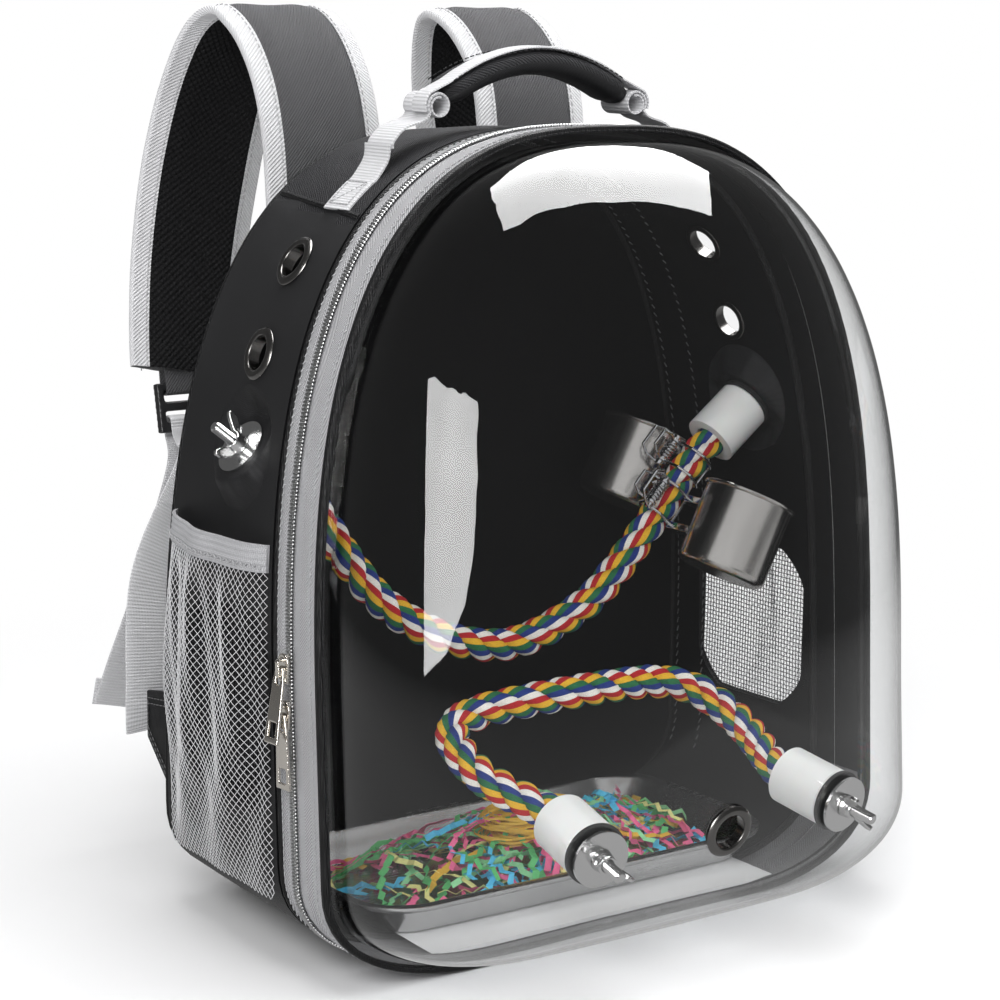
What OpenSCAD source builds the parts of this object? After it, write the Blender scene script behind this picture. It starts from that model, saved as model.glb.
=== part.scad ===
// Backpack-style travel carrier for a small pet: a soft black body, a clear domed door on a
// zip, two rope perches held by bolts, two clip-on cups and a lift-out tray.
// Millimetres. X to the right seen from the front, Y to the back, Z up.
// The origin is the middle of the base, on the ground.

/* [Body] */
// Full width of the front rim
body_w = 341; // [325:1:360]
// Height of the front rim
body_h = 398; // [385:1:415]
// Depth of the body at the base, front rim to rear seam
body_d = 166; // [150:1:185]
// Height at which the straight sides turn into the arch, at the front
shoulder_z = 129; // [115:1:140]
// The same height at the rear
rear_shoulder_z = 80; // [65:1:100]
// How much narrower the rear outline is on each side
rear_narrow = 5; // [2:0.5:8]
// How much lower the rear outline is
rear_drop = 8; // [4:0.5:12]
// Backward lean of the front rim, degrees
lean = 3.2; // [1:0.1:5]
// Roundness of the arch, 2 is an ellipse
arch_power = 2.7; // [2.3:0.1:3.2]
// Width of the rounded bottom corners
corner_w = 98; // [85:1:105]
// Height of the rounded bottom corners
corner_h = 53; // [45:1:58]
// Roundness of the bottom corners
corner_power = 2.3; // [2:0.1:2.8]
// Thickness of the padded fabric wall
wall = 2.5; // [2:0.1:3]
// Gap left between neighbours that are sewn together
seam = 0.2; // [0.1:0.05:0.3]
// Radius of the piping along the body's edges
piping_r = 2.2; // [1.8:0.1:2.6]

/* [Door and zip] */
// Depth of the clear dome in front of the rim
dome_depth = 92; // [80:1:105]
// Thickness of the clear sheet
dome_t = 1.5; // [1:0.1:2]
// Height of the dome's centre line
dome_centre_z = 139; // [125:1:155]
// Roundness of the dome towards its sides, bottom and top
dome_side_power = 2.3; // [2:0.1:3]
// Roundness towards the bottom
dome_bottom_power = 2.6; // [2.2:0.1:3]
// Roundness towards the top
dome_top_power = 2.3; // [2:0.1:3]
// Distance from the rim's edge to the foot of the dome
dome_foot = 7; // [6.4:0.2:9]
// Thickness of the fabric binding round the dome's flange
binding_t = 1.6; // [1.2:0.1:2]
// Distance of the zip's centre line behind the rim
zip_set = 25; // [23:0.5:28]
// Width of one row of zip teeth
teeth_w = 3.2; // [2.6:0.1:3.6]
// Height of the zip teeth above the tape
teeth_h = 2.4; // [2:0.1:2.8]
// Gap between the two rows of teeth
teeth_gap = 1; // [0.8:0.1:1.4]
// Thickness of the zip tape
tape_t = 1.4; // [1:0.1:1.8]
// How far the tape lies under the rim's edge
tape_sink = 0.8; // [0.6:0.1:1]
// Width of the body's half of the tape
body_tape_w = 12.4; // [11:0.2:14]
// Height of the lower end of the zip above the ground
zip_end_z = 10; // [8:1:16]
// Height of the upper slider
slider_upper_z = 153; // [150:1:156]
// Height of the lower slider
slider_lower_z = 131; // [126:1:133]
// Length of a slider
slider_l = 14; // [12:0.5:15]
// Width of a slider
slider_w = 9.4; // [9:0.2:11]
// Thickness of a slider's plates
slider_plate = 1.3; // [1:0.1:1.5]
// Room left between a slider's plates and what runs between them
slider_play = 0.8; // [0.6:0.05:1]
// Length of a pull tab
tab_l = 35; // [30:1:38]
// Width of a pull tab
tab_w = 11.5; // [10:0.5:13]
// Thickness of a pull tab
tab_t = 1.4; // [1.2:0.1:1.5]
// Outward tilt of the upper tab where it lies over the lower slider, degrees
tab_tilt = 10; // [10:0.5:14]

/* [Perches] */
// Radius of the perch ropes
rope_r = 8.5; // [7.5:0.1:9]
// Outer radius of the caps on the ropes' ends
cap_r = 14.5; // [14:0.1:16]
// Length of a cap
cap_l = 30; // [26:1:34]
// Clearance round the rope in its cap
rope_play = 0.3; // [0.2:0.1:0.6]
// Depth of the cap's closed end
cap_floor = 5; // [4:0.5:6]
// Radius of the perch bolts
bolt_r = 3; // [2.5:0.1:3.2]
// Length of thread that stands out beyond the washer
bolt_out = 18; // [15:1:20]
// Radius of the washers
washer_r = 14; // [12:0.5:15]
// Thickness of the washers
washer_t = 1.5; // [1.2:0.1:2]
// Thickness of the rubber rings
rubber_t = 2; // [1.5:0.1:2.5]
// Distance of the upper perch in front of the rear seam
upper_perch_back = 70; // [69:1:77]
// Height of the upper perch's bolts
upper_perch_z = 245; // [240:1:250]
// Tilt of the upper bolts out of level, degrees
upper_tilt = 38; // [34:1:42]
// How far the middle of the upper rope hangs below its bolts
upper_sag = 116; // [108:1:120]
// Distance of each lower bolt from the centre line
lower_perch_x = 74; // [70:1:78]
// Height of the lower bolts
lower_perch_z = 71; // [68:1:75]
// Reach of the lower rope into the cabin, behind the rim
lower_reach = 43; // [38:1:48]
// Height of the back of the lower rope
lower_rope_z = 114; // [108:1:118]

/* [Openings and rings] */
// Inner radius of the vent rings
ring_in = 8.5; // [7.5:0.1:9.5]
// Outer radius of the vent rings
ring_out = 13; // [12:0.2:14]
// Distance of the upper side rings below the top of the rim
ring_high_drop = 66; // [62:1:73]
// Distance of the lower side rings below the top of the rim
ring_low_drop = 109; // [105:1:112]
// Distance of the side rings behind the body's middle
ring_y = 16; // [10:1:22]
// Width of the side windows
window_w = 84; // [76:1:86]
// Height of the side windows
window_h = 88; // [80:1:92]
// Height of the middle of the side windows
window_z = 120; // [116:1:124]
// Distance of the middle of the windows behind the body's middle
window_y = 15; // [13:1:18]
// Pitch of the window net
net_pitch = 9; // [8:0.5:12]
// Width of the net's strands
net_strand = 1.6; // [1.2:0.1:2]

/* [Pockets] */
// Height of the pocket's top edge
pocket_top = 206; // [195:1:210]
// Height of the pocket's bottom edge
pocket_bottom = 36; // [32:1:42]
// Distance of the pocket's front edge behind the front piping
pocket_front = 1.5; // [1:0.5:4]
// Distance from the body's middle to the pocket's rear edge
pocket_rear = 72; // [66:1:74]
// How far the pocket stands off the side
pocket_bulge = 17; // [14:1:20]
// Thickness of the pocket's net
pocket_t = 1.2; // [1:0.1:1.5]
// Height of the elastic hem
hem_h = 13; // [11:0.5:15]

/* [Cups] */
// Outer radius of the cups
cup_r = 24; // [22:0.5:24.5]
// Height of the cups
cup_h = 44; // [40:1:46]
// Thickness of the cups' wall
cup_t = 0.9; // [0.7:0.1:1.2]
// Tilt of the cups out of upright, degrees
cup_tilt = 27; // [23:1:31]
// Gap between the rope and a cup
cup_gap = 7; // [6.6:0.1:7.4]
// Radius of the clips' wire
clip_wire_r = 1; // [0.8:0.1:1.1]
// Radius of the clips' pins
clip_pin_r = 2; // [1.8:0.05:2.2]
// Turns of a clip's spring
spring_turns = 5; // [4:1:5]
// Radius of the spring's wire
spring_wire_r = 0.7; // [0.6:0.05:0.7]
// Rise of the spring in one turn
spring_pitch = 1.9; // [1.85:0.05:1.95]

/* [Tray and base] */
// Distance from the tray's rim to the widest place of the body, on each side
tray_clear = 42.5; // [39.5:0.5:50]
// Depth of the tray from front to back
tray_d = 132; // [120:1:136]
// Height of the tray
tray_h = 18; // [15:0.5:20]
// Thickness of the tray's sheet
tray_t = 1; // [0.8:0.1:1.2]
// Radius of the tray's corners
tray_corner = 34; // [28:1:40]
// Width of the tray's rim
tray_rim = 5; // [4:0.5:6]
// Distance of the tray's middle behind the body's middle
tray_y = 5; // [3:1:7]
// Thickness of the base board
board_t = 3; // [2.5:0.1:3.5]
// Height of the heap of paper strips in the tray
bedding_h = 30; // [24:1:34]

/* [Back, straps and handle] */
// Thickness of the stiff rear panel
panel_t = 4; // [3:0.1:4.2]
// Thickness of the back padding
padding_t = 11; // [8:1:14]
// Width of a shoulder strap
strap_w = 68; // [62:1:72]
// Thickness of a shoulder strap
strap_t = 9; // [7:0.5:11]
// Width of the strap's edge binding
strap_edge = 9; // [8:0.5:11]
// Distance of a strap's root from the centre line
strap_x = 66; // [62:1:70]
// Height of the top of the straps above the top of the rim
strap_top_rise = 54; // [47:1:60]
// Distance of the straps' roots below the top of the rim
strap_root_drop = 48; // [44:1:52]
// Width of the straps' webbing
webbing_w = 25; // [22:1:26]
// Thickness of the webbing
webbing_t = 1.5; // [1.2:0.1:1.8]
// Width of the carry handle's pad
handle_w = 26; // [22:1:30]
// Thickness of the pad
handle_t = 13; // [11:0.5:15]
// Half the length of the pad
handle_half = 54; // [50:1:58]
// Distance of the handle behind the body's middle
handle_y = 5; // [0:1:10]
// Distance of the handle's folds below the top of the rim
handle_fold_drop = 14; // [11:0.5:15]
// Height of the pad's ends above the top of the rim
handle_end_rise = 11; // [7:1:14]
// Rise of the pad in its middle
handle_rise = 17; // [14:1:20]

/* [Hidden] */

fabric_black = [0.07, 0.07, 0.075];
twill_grey = [0.2, 0.2, 0.21];
webbing_grey = [0.72, 0.72, 0.74];
bright_steel = [0.78, 0.78, 0.8];
gunmetal = [0.3, 0.3, 0.31];
clear_sheet = [0.85, 0.9, 0.92, 0.35];
cap_white = [0.93, 0.93, 0.92];
rubber_black = [0.05, 0.05, 0.05];

corner_steps = 7;
arch_steps = 18;
half_w = body_w / 2;
rear_y = body_d / 2;
upper_perch_y = rear_y - upper_perch_back;
ring_high_z = body_h - ring_high_drop;
ring_low_z = body_h - ring_low_drop;
tray_w = body_w - 2 * tray_clear;
strap_top_z = body_h + strap_top_rise;
strap_root_z = body_h - strap_root_drop;
handle_fold_z = body_h - handle_fold_drop;
handle_end_z = body_h + handle_end_rise;
fold_x = half_w / 2;
slot_play = 0.4;
fit_play = 0.07;

// ---- Outlines -------------------------------------------------------------------------------

function unit(v) = v / norm(v);
function mix(a, b, t) = a + (b - a) * t;
// Point of a superellipse with the given half axes, in the direction of an angle
function oval(a, b, power, angle) =
    let (c = cos(angle), s = sin(angle),
         r = pow(pow(abs(c) / a, power) + pow(abs(s) / b, power), -1 / power))
    [r * c, r * s];
// Right half of an outline, from the middle of the base to the top
function half_outline(w, h, shoulder, inset) = concat(
    [for (t = [1 / 6, 1 / 2, 5 / 6]) [(w - corner_w) * t, inset]],
    [for (i = [0 : corner_steps])
        let (p = oval(corner_w - inset, corner_h - inset, corner_power, 90 * i / corner_steps - 90))
        [w - corner_w + p.x, corner_h + p.y]],
    [for (t = [1 / 3, 2 / 3]) [w - inset, mix(corner_h, shoulder, t)]],
    [for (i = [0 : arch_steps])
        let (p = oval(w - inset, h - inset - shoulder, arch_power, 90 * i / arch_steps))
        [p.x, shoulder + p.y]]);
function full_outline(half) = concat(half, [for (i = [len(half) - 2 : -1 : 0]) [-half[i].x, half[i].y]]);
function front_outline(inset) = full_outline(half_outline(half_w, body_h, shoulder_z, inset));
// The rear outline has its points at the front outline's heights, squeezed a little over the arch
function rear_half(inset) =
    let (w = half_w - rear_narrow - inset, h = body_h - rear_drop - inset)
    [for (p = half_outline(half_w, body_h, shoulder_z, inset))
        p.y <= corner_h ? [p.x * (half_w - rear_narrow) / half_w, p.y]
        : let (z = p.y <= shoulder_z ? p.y
              : mix(shoulder_z, h, (p.y - shoulder_z) / (body_h - inset - shoulder_z)))
          [half_width(w, h, rear_shoulder_z, z), z]];
function rear_outline(inset) = full_outline(rear_half(inset));
function front_y(z) = z * tan(lean) - body_d / 2;
// Ring of points a distance behind the rim, an inset inside the body's surface
function ring(behind, inset) =
    let (f = front_outline(inset), r = rear_outline(inset))
    [for (i = [0 : len(f) - 1])
        let (a = [f[i].x, front_y(f[i].y), f[i].y], b = [r[i].x, rear_y, r[i].y])
        mix(a, b, behind / (b.y - a.y))];
// Ring at a distance in front of the rear seam
function rear_ring(ahead, inset) =
    let (f = front_outline(inset), r = rear_outline(inset))
    [for (i = [0 : len(f) - 1])
        let (a = [f[i].x, front_y(f[i].y), f[i].y], b = [r[i].x, rear_y, r[i].y])
        mix(b, a, ahead / (b.y - a.y))];
function half_width(w, h, shoulder, z) = z <= shoulder ? w
    : w * pow(max(0, 1 - pow((z - shoulder) / (h - shoulder), arch_power)), 1 / arch_power);
// Outer surface of the side at a place along the body
function side_x(y, z) =
    mix(half_width(half_w, body_h, shoulder_z, z),
        half_width(half_w - rear_narrow, body_h - rear_drop, rear_shoulder_z, z),
        (y - front_y(z)) / (rear_y - front_y(z)));
// Outward normal of the right side at a place
function side_normal(y, z) = unit([2, side_x(y - 1, z) - side_x(y + 1, z), side_x(y, z - 1) - side_x(y, z + 1)]);

function reversed(list) = [for (i = [len(list) - 1 : -1 : 0]) list[i]];

// ---- Surfaces -------------------------------------------------------------------------------

// Solid through a list of rings that closes on itself
module ring_solid(rings) {
    n = len(rings[0]);
    m = len(rings);
    polyhedron([for (r = rings) each r],
        [for (j = [0 : m - 1], i = [0 : n - 1])
            let (a = j * n + i, b = j * n + (i + 1) % n,
                 c = (j + 1) % m * n + (i + 1) % n, d = (j + 1) % m * n + i)
            each [[a, b, c], [a, c, d]]]);
}
// Solid through a list of rings, closed by a fan at each end
module capped_solid(rings) {
    n = len(rings[0]);
    m = len(rings);
    last = (m - 1) * n;
    function middle(r) = [for (p = r) 1] * r / n;
    polyhedron(concat([for (r = rings) each r], [middle(rings[0]), middle(rings[m - 1])]),
        concat(
            [for (j = [0 : m - 2], i = [0 : n - 1])
                let (a = j * n + i, b = j * n + (i + 1) % n, c = b + n, d = a + n)
                each [[a, b, c], [a, c, d]]],
            [for (i = [0 : n - 1]) [(i + 1) % n, i, m * n]],
            [for (i = [0 : n - 1]) [last + i, last + (i + 1) % n, m * n + 1]]));
}
// Solid through a list of rings that are each thin and curved, closed by a strip at each end
module sheet_solid(rings) {
    n = len(rings[0]);
    m = len(rings);
    last = (m - 1) * n;
    polyhedron([for (r = rings) each r],
        concat(
            [for (j = [0 : m - 2], i = [0 : n - 1])
                let (a = j * n + i, b = j * n + (i + 1) % n, c = b + n, d = a + n)
                each [[a, b, c], [a, c, d]]],
            [for (i = [0 : n / 2 - 2]) each [[i + 1, i, n - 1 - i], [i + 1, n - 1 - i, n - 2 - i]]],
            [for (i = [0 : n / 2 - 2])
                each [[last + i, last + i + 1, last + n - 1 - i],
                    [last + i + 1, last + n - 2 - i, last + n - 1 - i]]]));
}
// Normals carried along a path, each turned as little as it can be
function path_tangents(path) =
    [for (i = [0 : len(path) - 1])
        unit(path[min(i + 1, len(path) - 1)] - path[max(i - 1, 0)])];
function path_normals(tangents, start) =
    [for (i = 0, n = unit(start - (start * tangents[0]) * tangents[0]); i < len(tangents);
        i = i + 1,
        n = i < len(tangents) ? unit(n - (n * tangents[i]) * tangents[i]) : n) n];
// Solid swept along a path with a section given as [along the normal, across it]
module sweep(path, section, start) {
    t = path_tangents(path);
    n = path_normals(t, start);
    capped_solid([for (i = [0 : len(path) - 1])
        [for (s = section) path[i] + s.x * n[i] + s.y * cross(n[i], t[i])]]);
}
function round_section(r, sides) = [for (i = [0 : sides - 1]) r * [cos(360 * i / sides), sin(360 * i / sides)]];
function flat_section(t, w) = [[t, w], [-t, w], [-t, -w], [t, -w]] / 2;
// Pad section with drawn-in edges
function pad_section(t, w) = [[0.5 * t, 0.36 * w], [0.3 * t, 0.5 * w], [-0.3 * t, 0.5 * w],
    [-0.5 * t, 0.36 * w], [-0.5 * t, -0.36 * w], [-0.3 * t, -0.5 * w], [0.3 * t, -0.5 * w],
    [0.5 * t, -0.36 * w]];
// Points of a smooth curve through hand-set points, with steps between each pair
function smooth(p, steps) = concat(
    [for (i = [0 : len(p) - 2], k = [0 : steps - 1])
        let (t = k / steps, a = p[max(i - 1, 0)], b = p[i], c = p[i + 1],
             d = p[min(i + 2, len(p) - 1)])
        0.5 * (2 * b + (c - a) * t + (2 * a - 5 * b + 4 * c - d) * t * t
            + (3 * b - a - 3 * c + d) * t * t * t)],
    [p[len(p) - 1]]);
// Band round the body from a section of [behind the rim, inset] pairs
module band(section) {
    ring_solid([for (s = section) ring(s[0], s[1])]);
}
// The same band along the zip's run only, up one side, over the arch and down the other
module zip_band(section) {
    rings = [for (s = section) ring(s[0], s[1])];
    run = [for (i = [len(rings[0]) - 1 : -1 : 0]) if (rings[0][i].z > zip_end_z) i];
    capped_solid([for (i = run) [for (r = rings) r[i]]]);
}
module both_sides() {
    children();
    mirror([1, 0, 0]) children();
}
// Moves its children to a point, with +Z along a direction
module facing(point, n) {
    translate(point) rotate([0, acos(n.z), atan2(n.y, n.x)]) children();
}
// Moves its children onto the side, with +Z as the outward normal
module on_side(side, y, z) {
    n = side_normal(y, z);
    facing([side * side_x(y, z), y, z], [side * n.x, n.y, n.z]) children();
}

// ---- Zip positions, all measured behind the rim -----------------------------------------------

binding_front = -dome_t / 2 - binding_t;
binding_back = dome_t / 2 + binding_t + seam;
door_tape_end = zip_set - teeth_gap / 2 - seam / 2;
body_tape_start = zip_set + teeth_gap / 2 + seam / 2;
body_tape_end = body_tape_start + body_tape_w;
piping_set = body_tape_end + seam + piping_r;
gusset_set = piping_set + piping_r + seam;
panel_set = 2 * piping_r + seam;
tape_in = tape_sink + tape_t;

function tape_section(from, to) = [[from, tape_sink], [to, tape_sink], [to, tape_in], [from, tape_in]];
function teeth_section(from) =
    let (foot = tape_sink - seam, top = tape_sink - seam - teeth_h)
    [[from, foot], [from, mix(foot, top, 0.6)], [from + 0.25 * teeth_w, top],
     [from + 0.75 * teeth_w, top], [from + teeth_w, mix(foot, top, 0.6)], [from + teeth_w, foot]];
function piping_section(centre) =
    [for (p = round_section(piping_r, 6)) [centre + p.x, piping_r + p.y]];

// ---- Body -----------------------------------------------------------------------------------

perch_patch_r = 30;
perch_seat_r = washer_r + 3;

// The pulled-out patch of the side wall that a perch bolt tilts
module perch_patch(side) {
    steps = 28;
    seat = [side * side_x(upper_perch_y, upper_perch_z), upper_perch_y, upper_perch_z];
    out = [side * cos(upper_tilt), 0, sin(upper_tilt)];
    up = [-side * sin(upper_tilt), 0, cos(upper_tilt)];
    function wall_ring(r, sink) = [for (i = [0 : steps - 1])
        let (a = -side * 360 * i / steps, y = upper_perch_y + r * cos(a), z = upper_perch_z + r * sin(a))
        [side * (side_x(y, z) - sink), y, z]];
    function seat_ring(r, sink) = [for (i = [0 : steps - 1])
        let (a = -side * 360 * i / steps)
        seat - sink * out + r * cos(a) * [0, 1, 0] + r * sin(a) * up];
    ring_solid([wall_ring(perch_patch_r, 0), seat_ring(perch_seat_r, 0), seat_ring(bolt_r + slot_play, 0),
        seat_ring(bolt_r + slot_play, wall), seat_ring(perch_seat_r, wall), wall_ring(perch_patch_r, wall)]);
}
// Rounded window shape, its width along X
module window_shape(grow = 0) {
    offset(r = grow)
        intersection() {
            square([window_w, window_h], center = true);
            scale([1, window_h / window_w]) circle(d = 1.16 * window_w, $fn = 48);
        }
}
// Places a window shape's extrusion across the side wall
module through_side(side, depth) {
    turn = atan(rear_narrow / body_d);
    translate([side * side_x(window_y, window_z), window_y, window_z])
        rotate([0, 0, side * turn])
            rotate([90, 0, 90])
                translate([0, 0, -depth / 2])
                    linear_extrude(depth) children();
}
module gusset() {
    color(fabric_black) {
        difference() {
            ring_solid([ring(gusset_set, 0), rear_ring(panel_set, 0), rear_ring(panel_set, wall),
                ring(gusset_set, wall)]);
            for (side = [-1, 1]) {
                through_side(side, 8 * wall) window_shape();
                for (z = [ring_low_z, ring_high_z])
                    on_side(side, ring_y, z) cylinder(r = ring_in + 1.2, h = 8 * wall, center = true);
                translate([side * half_w, upper_perch_y, upper_perch_z])
                    rotate([0, 90, 0]) cylinder(r = perch_patch_r - 1, h = 24 * wall, center = true, $fn = 28);
            }
        }
        for (side = [-1, 1]) perch_patch(side);
    }
}
module rear_panel() {
    color(fabric_black)
        translate([0, rear_y, 0])
            rotate([90, 0, 0])
                linear_extrude(panel_t)
                    polygon(rear_outline(panel_set));
}
module back_padding() {
    function pad_ring(inset, out) = [for (p = rear_outline(inset)) [p.x, rear_y + seam + out, p.y]];
    color(twill_grey)
        difference() {
            capped_solid([pad_ring(16, 0), pad_ring(14, 0.5 * padding_t), pad_ring(19, 0.85 * padding_t),
                pad_ring(30, padding_t)]);
            // The air channel down the middle of the padding
            translate([-11, rear_y + 0.45 * padding_t, 0]) cube([22, padding_t, body_h]);
            // The straps' roots lie on the panel above the padding
            translate([-half_w, rear_y - 1, strap_root_z - 4]) cube([body_w, 2 * padding_t, body_h]);
        }
}
module rear_piping() {
    color(rubber_black)
        ring_solid([for (p = round_section(piping_r, 6)) rear_ring(piping_r + p.x, piping_r - p.y)]);
}
module front_piping() {
    color(rubber_black) band(piping_section(piping_set));
}
module body_zip_tape() {
    color(webbing_grey) band(tape_section(body_tape_start, body_tape_end));
}
module body_zip_teeth() {
    color(bright_steel) zip_band(teeth_section(zip_set + teeth_gap / 2));
}
// The flexible strip that joins the two halves along the bottom
module hinge_strip() {
    run = half_w - corner_w;
    gap = body_tape_start - door_tape_end - 2 * seam;
    color(webbing_grey)
        translate([-run, front_y(0) + door_tape_end + seam, tape_in + seam])
            cube([2 * run, gap + 6, 0.8]);
}

// ---- Door -----------------------------------------------------------------------------------

module door_zip_tape() {
    color(webbing_grey) band(tape_section(binding_back + seam, door_tape_end));
}
module door_zip_teeth() {
    color(bright_steel) zip_band(teeth_section(zip_set - teeth_gap / 2 - teeth_w));
}
module flange_binding() {
    front_in = -dome_t / 2 - seam / 2;
    back_in = dome_t / 2 + seam;
    leg = dome_foot - 1.2;
    color(rubber_black)
        band([[binding_back, 0], [binding_back, leg], [back_in, leg], [back_in, binding_t],
            [front_in, binding_t], [front_in, leg], [binding_front, leg], [binding_front, 0.5]]);
}

// Point on a plane in front of the rim, a depth out along the rim's normal
function before_rim(x, z, d) = [x, front_y(z) - d * cos(lean), z + d * sin(lean)];
function dome_power(x, dz) =
    let (c = dz / max(norm([x, dz]), 0.001))
    mix(dome_side_power, c > 0 ? dome_top_power : dome_bottom_power, c * c);
// One ring of a dome skin: an angle of 0 is its foot and 90 its crown
function dome_ring(foot, inset, depth, angle) =
    [for (p = foot)
        let (dz = p.y - dome_centre_z, m = dome_power(p.x, dz), s = pow(cos(angle), 2 / m),
             shrink = 1 - inset / norm([p.x, dz]))
        before_rim(p.x * s * shrink, dome_centre_z + dz * s * shrink,
            depth * pow(sin(angle), 2 / m))];
dome_angles = [4, 12, 21, 30, 39, 48, 57, 66, 75, 87];
// Is a point of the rim's plane inside the foot of the dome
function in_foot(x, z) =
    let (w = half_w - dome_foot, h = body_h - dome_foot)
    z > shoulder_z
        ? pow(abs(x) / w, arch_power) + pow((z - shoulder_z) / (h - shoulder_z), arch_power) < 1
        : z > corner_h || abs(x) < half_w - corner_w
            ? abs(x) < w && z > dome_foot
            : pow((abs(x) - half_w + corner_w) / (corner_w - dome_foot), corner_power)
                + pow((corner_h - z) / (corner_h - dome_foot), corner_power) < 1;
// Share of the way from the dome's centre to its foot at a point, found by halving
function dome_share(x, z, low = 0.01, high = 1, steps = 14) = steps == 0 ? high
    : let (s = (low + high) / 2)
      in_foot(x / s, dome_centre_z + (z - dome_centre_z) / s)
        ? dome_share(x, z, low, s, steps - 1) : dome_share(x, z, s, high, steps - 1);
function dome_depth_at(x, z) =
    let (m = dome_power(x, z - dome_centre_z))
    dome_depth * pow(1 - pow(dome_share(x, z), m), 1 / m);
function dome_point(x, z) = before_rim(x, z, dome_depth_at(x, z));
function dome_normal(x, z) =
    unit(cross(dome_point(x, z + 6) - dome_point(x, z - 6), dome_point(x + 6, z) - dome_point(x - 6, z)));
// Moves its children onto the dome, with +Z as the outward normal
module on_dome(x, z, sink = 0) {
    facing(dome_point(x, z), -dome_normal(x, z)) translate([0, 0, -sink]) children();
}
module dome() {
    foot = front_outline(dome_foot);
    edge = front_outline(binding_t + seam);
    function flange_ring(outline, d) = [for (p = outline) before_rim(p.x, p.y, d)];
    color(clear_sheet)
        difference() {
            capped_solid(concat(
                [for (i = [len(dome_angles) - 1 : -1 : 0]) dome_ring(foot, 0, dome_depth, dome_angles[i])],
                [flange_ring(foot, dome_t / 2), flange_ring(edge, dome_t / 2), flange_ring(edge, -dome_t / 2),
                    dome_ring(foot, dome_t, -dome_t / 2, 0), dome_ring(foot, dome_t, dome_t / 2, 4)],
                [for (i = [1 : len(dome_angles) - 1]) dome_ring(foot, dome_t, dome_depth - dome_t, dome_angles[i])]));
            for (side = [-1, 1])
                on_dome(side * lower_perch_x, lower_perch_z)
                    cylinder(r = bolt_r + slot_play, h = 12, center = true);
            on_dome(0, lower_perch_z) cylinder(r = ring_in + 1.2, h = 12, center = true);
        }
}
// Rolled metal eyelet, its wall of the given thickness between the two flanges
module vent_ring(thickness) {
    bulge = 0.7;
    rotate_extrude($fn = 48)
        polygon([[ring_in, -thickness - 1.4], [ring_in + 1, -thickness - 1.4],
            [ring_out - 1.5, -thickness - 1.1], [ring_out - 1.5, -thickness - 0.1 - seam],
            [ring_in + 0.9, -thickness - 0.1 - seam], [ring_in + 0.9, 0.1 + seam],
            [ring_out, 0.1 + seam], [ring_out, 0.9 + seam], [ring_out - 1.4, 1.3 + bulge],
            [ring_in + 1.4, 1.3 + bulge], [ring_in, 0.9]]);
}
module dome_vent_ring() {
    color(gunmetal) on_dome(0, lower_perch_z, -0.3) vent_ring(dome_t + 1);
}

// ---- Perches --------------------------------------------------------------------------------

// The pieces at a perch bolt. Z is 0 on the outer face of the wall, +Z outward.
module perch_washer() {
    difference() {
        translate([0, 0, seam]) cylinder(r = washer_r, h = washer_t);
        translate([0, 0, -1]) cylinder(r = bolt_r + slot_play, h = washer_t + 3);
    }
}
module perch_rubber(depth) {
    difference() {
        translate([0, 0, -depth - seam - rubber_t]) cylinder(r = cap_r + 0.6, h = rubber_t);
        translate([0, 0, -depth - seam - rubber_t - 1]) cylinder(r = bolt_r + slot_play, h = rubber_t + 3);
    }
}
head_h = 3.6;
function cap_top(depth) = -depth - 2 * seam - rubber_t;
module perch_cap(depth) {
    top = cap_top(depth);
    difference() {
        union() {
            translate([0, 0, top - cap_l]) cylinder(r = cap_r, h = cap_l - 1.2);
            translate([0, 0, top - 1.2]) cylinder(r1 = cap_r, r2 = cap_r - 1.2, h = 1.2, $fn = 64);
        }
        translate([0, 0, top - cap_l - 1]) cylinder(r = rope_r + rope_play, h = cap_l - cap_floor + 1);
        translate([0, 0, top - cap_floor - 1]) cylinder(r = bolt_r + slot_play, h = cap_floor + 2);
    }
}
module perch_bolt(depth) {
    top = cap_top(depth) - cap_floor;
    translate([0, 0, top - seam - head_h]) cylinder(r = 5.2, h = head_h, $fn = 6);
    translate([0, 0, top - seam - 0.5]) cylinder(r = bolt_r, h = bolt_out + washer_t - top + seam + 0.5);
}
nut_h = 6;
module perch_wing_nut() {
    base = washer_t + 2 * seam;
    difference() {
        union() {
            translate([0, 0, base]) cylinder(r1 = 5.6, r2 = 4.6, h = nut_h, $fn = 48);
            for (s = [-1, 1])
                rotate([90, 0, 0])
                    translate([0, 0, -1.1])
                        linear_extrude(2.2)
                            polygon([[s * 3.6, base + 1], [s * 8.5, base + 2.6], [s * 12.5, base + 8],
                                [s * 12.8, base + 11.5], [s * 11.2, base + 12.6], [s * 8.8, base + 11],
                                [s * 3.8, base + nut_h - 0.2]]);
        }
        translate([0, 0, base - 1]) cylinder(r = bolt_r + fit_play, h = nut_h + 2);
    }
}
module at_upper(side) {
    facing(upper_seat(side), upper_axis(side)) children();
}
dome_seat = 0.7;
module at_lower(side) {
    on_dome(side * lower_perch_x, lower_perch_z, -dome_seat) children();
}
lower_wall = dome_t + dome_seat + 1.5;
module upper_caps() { color(cap_white) for (s = [-1, 1]) at_upper(s) perch_cap(wall); }
module upper_rubber_rings() { color(rubber_black) for (s = [-1, 1]) at_upper(s) perch_rubber(wall); }
module upper_bolts() { color(bright_steel) for (s = [-1, 1]) at_upper(s) perch_bolt(wall); }
module upper_washers() { color(bright_steel) for (s = [-1, 1]) at_upper(s) perch_washer(); }
module upper_wing_nut_left() { color(bright_steel) at_upper(-1) rotate([0, 0, 25]) perch_wing_nut(); }
module upper_wing_nut_right() { color(bright_steel) at_upper(1) rotate([0, 0, 25]) perch_wing_nut(); }
module lower_caps() { color(cap_white) for (s = [-1, 1]) at_lower(s) perch_cap(lower_wall); }
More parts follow.
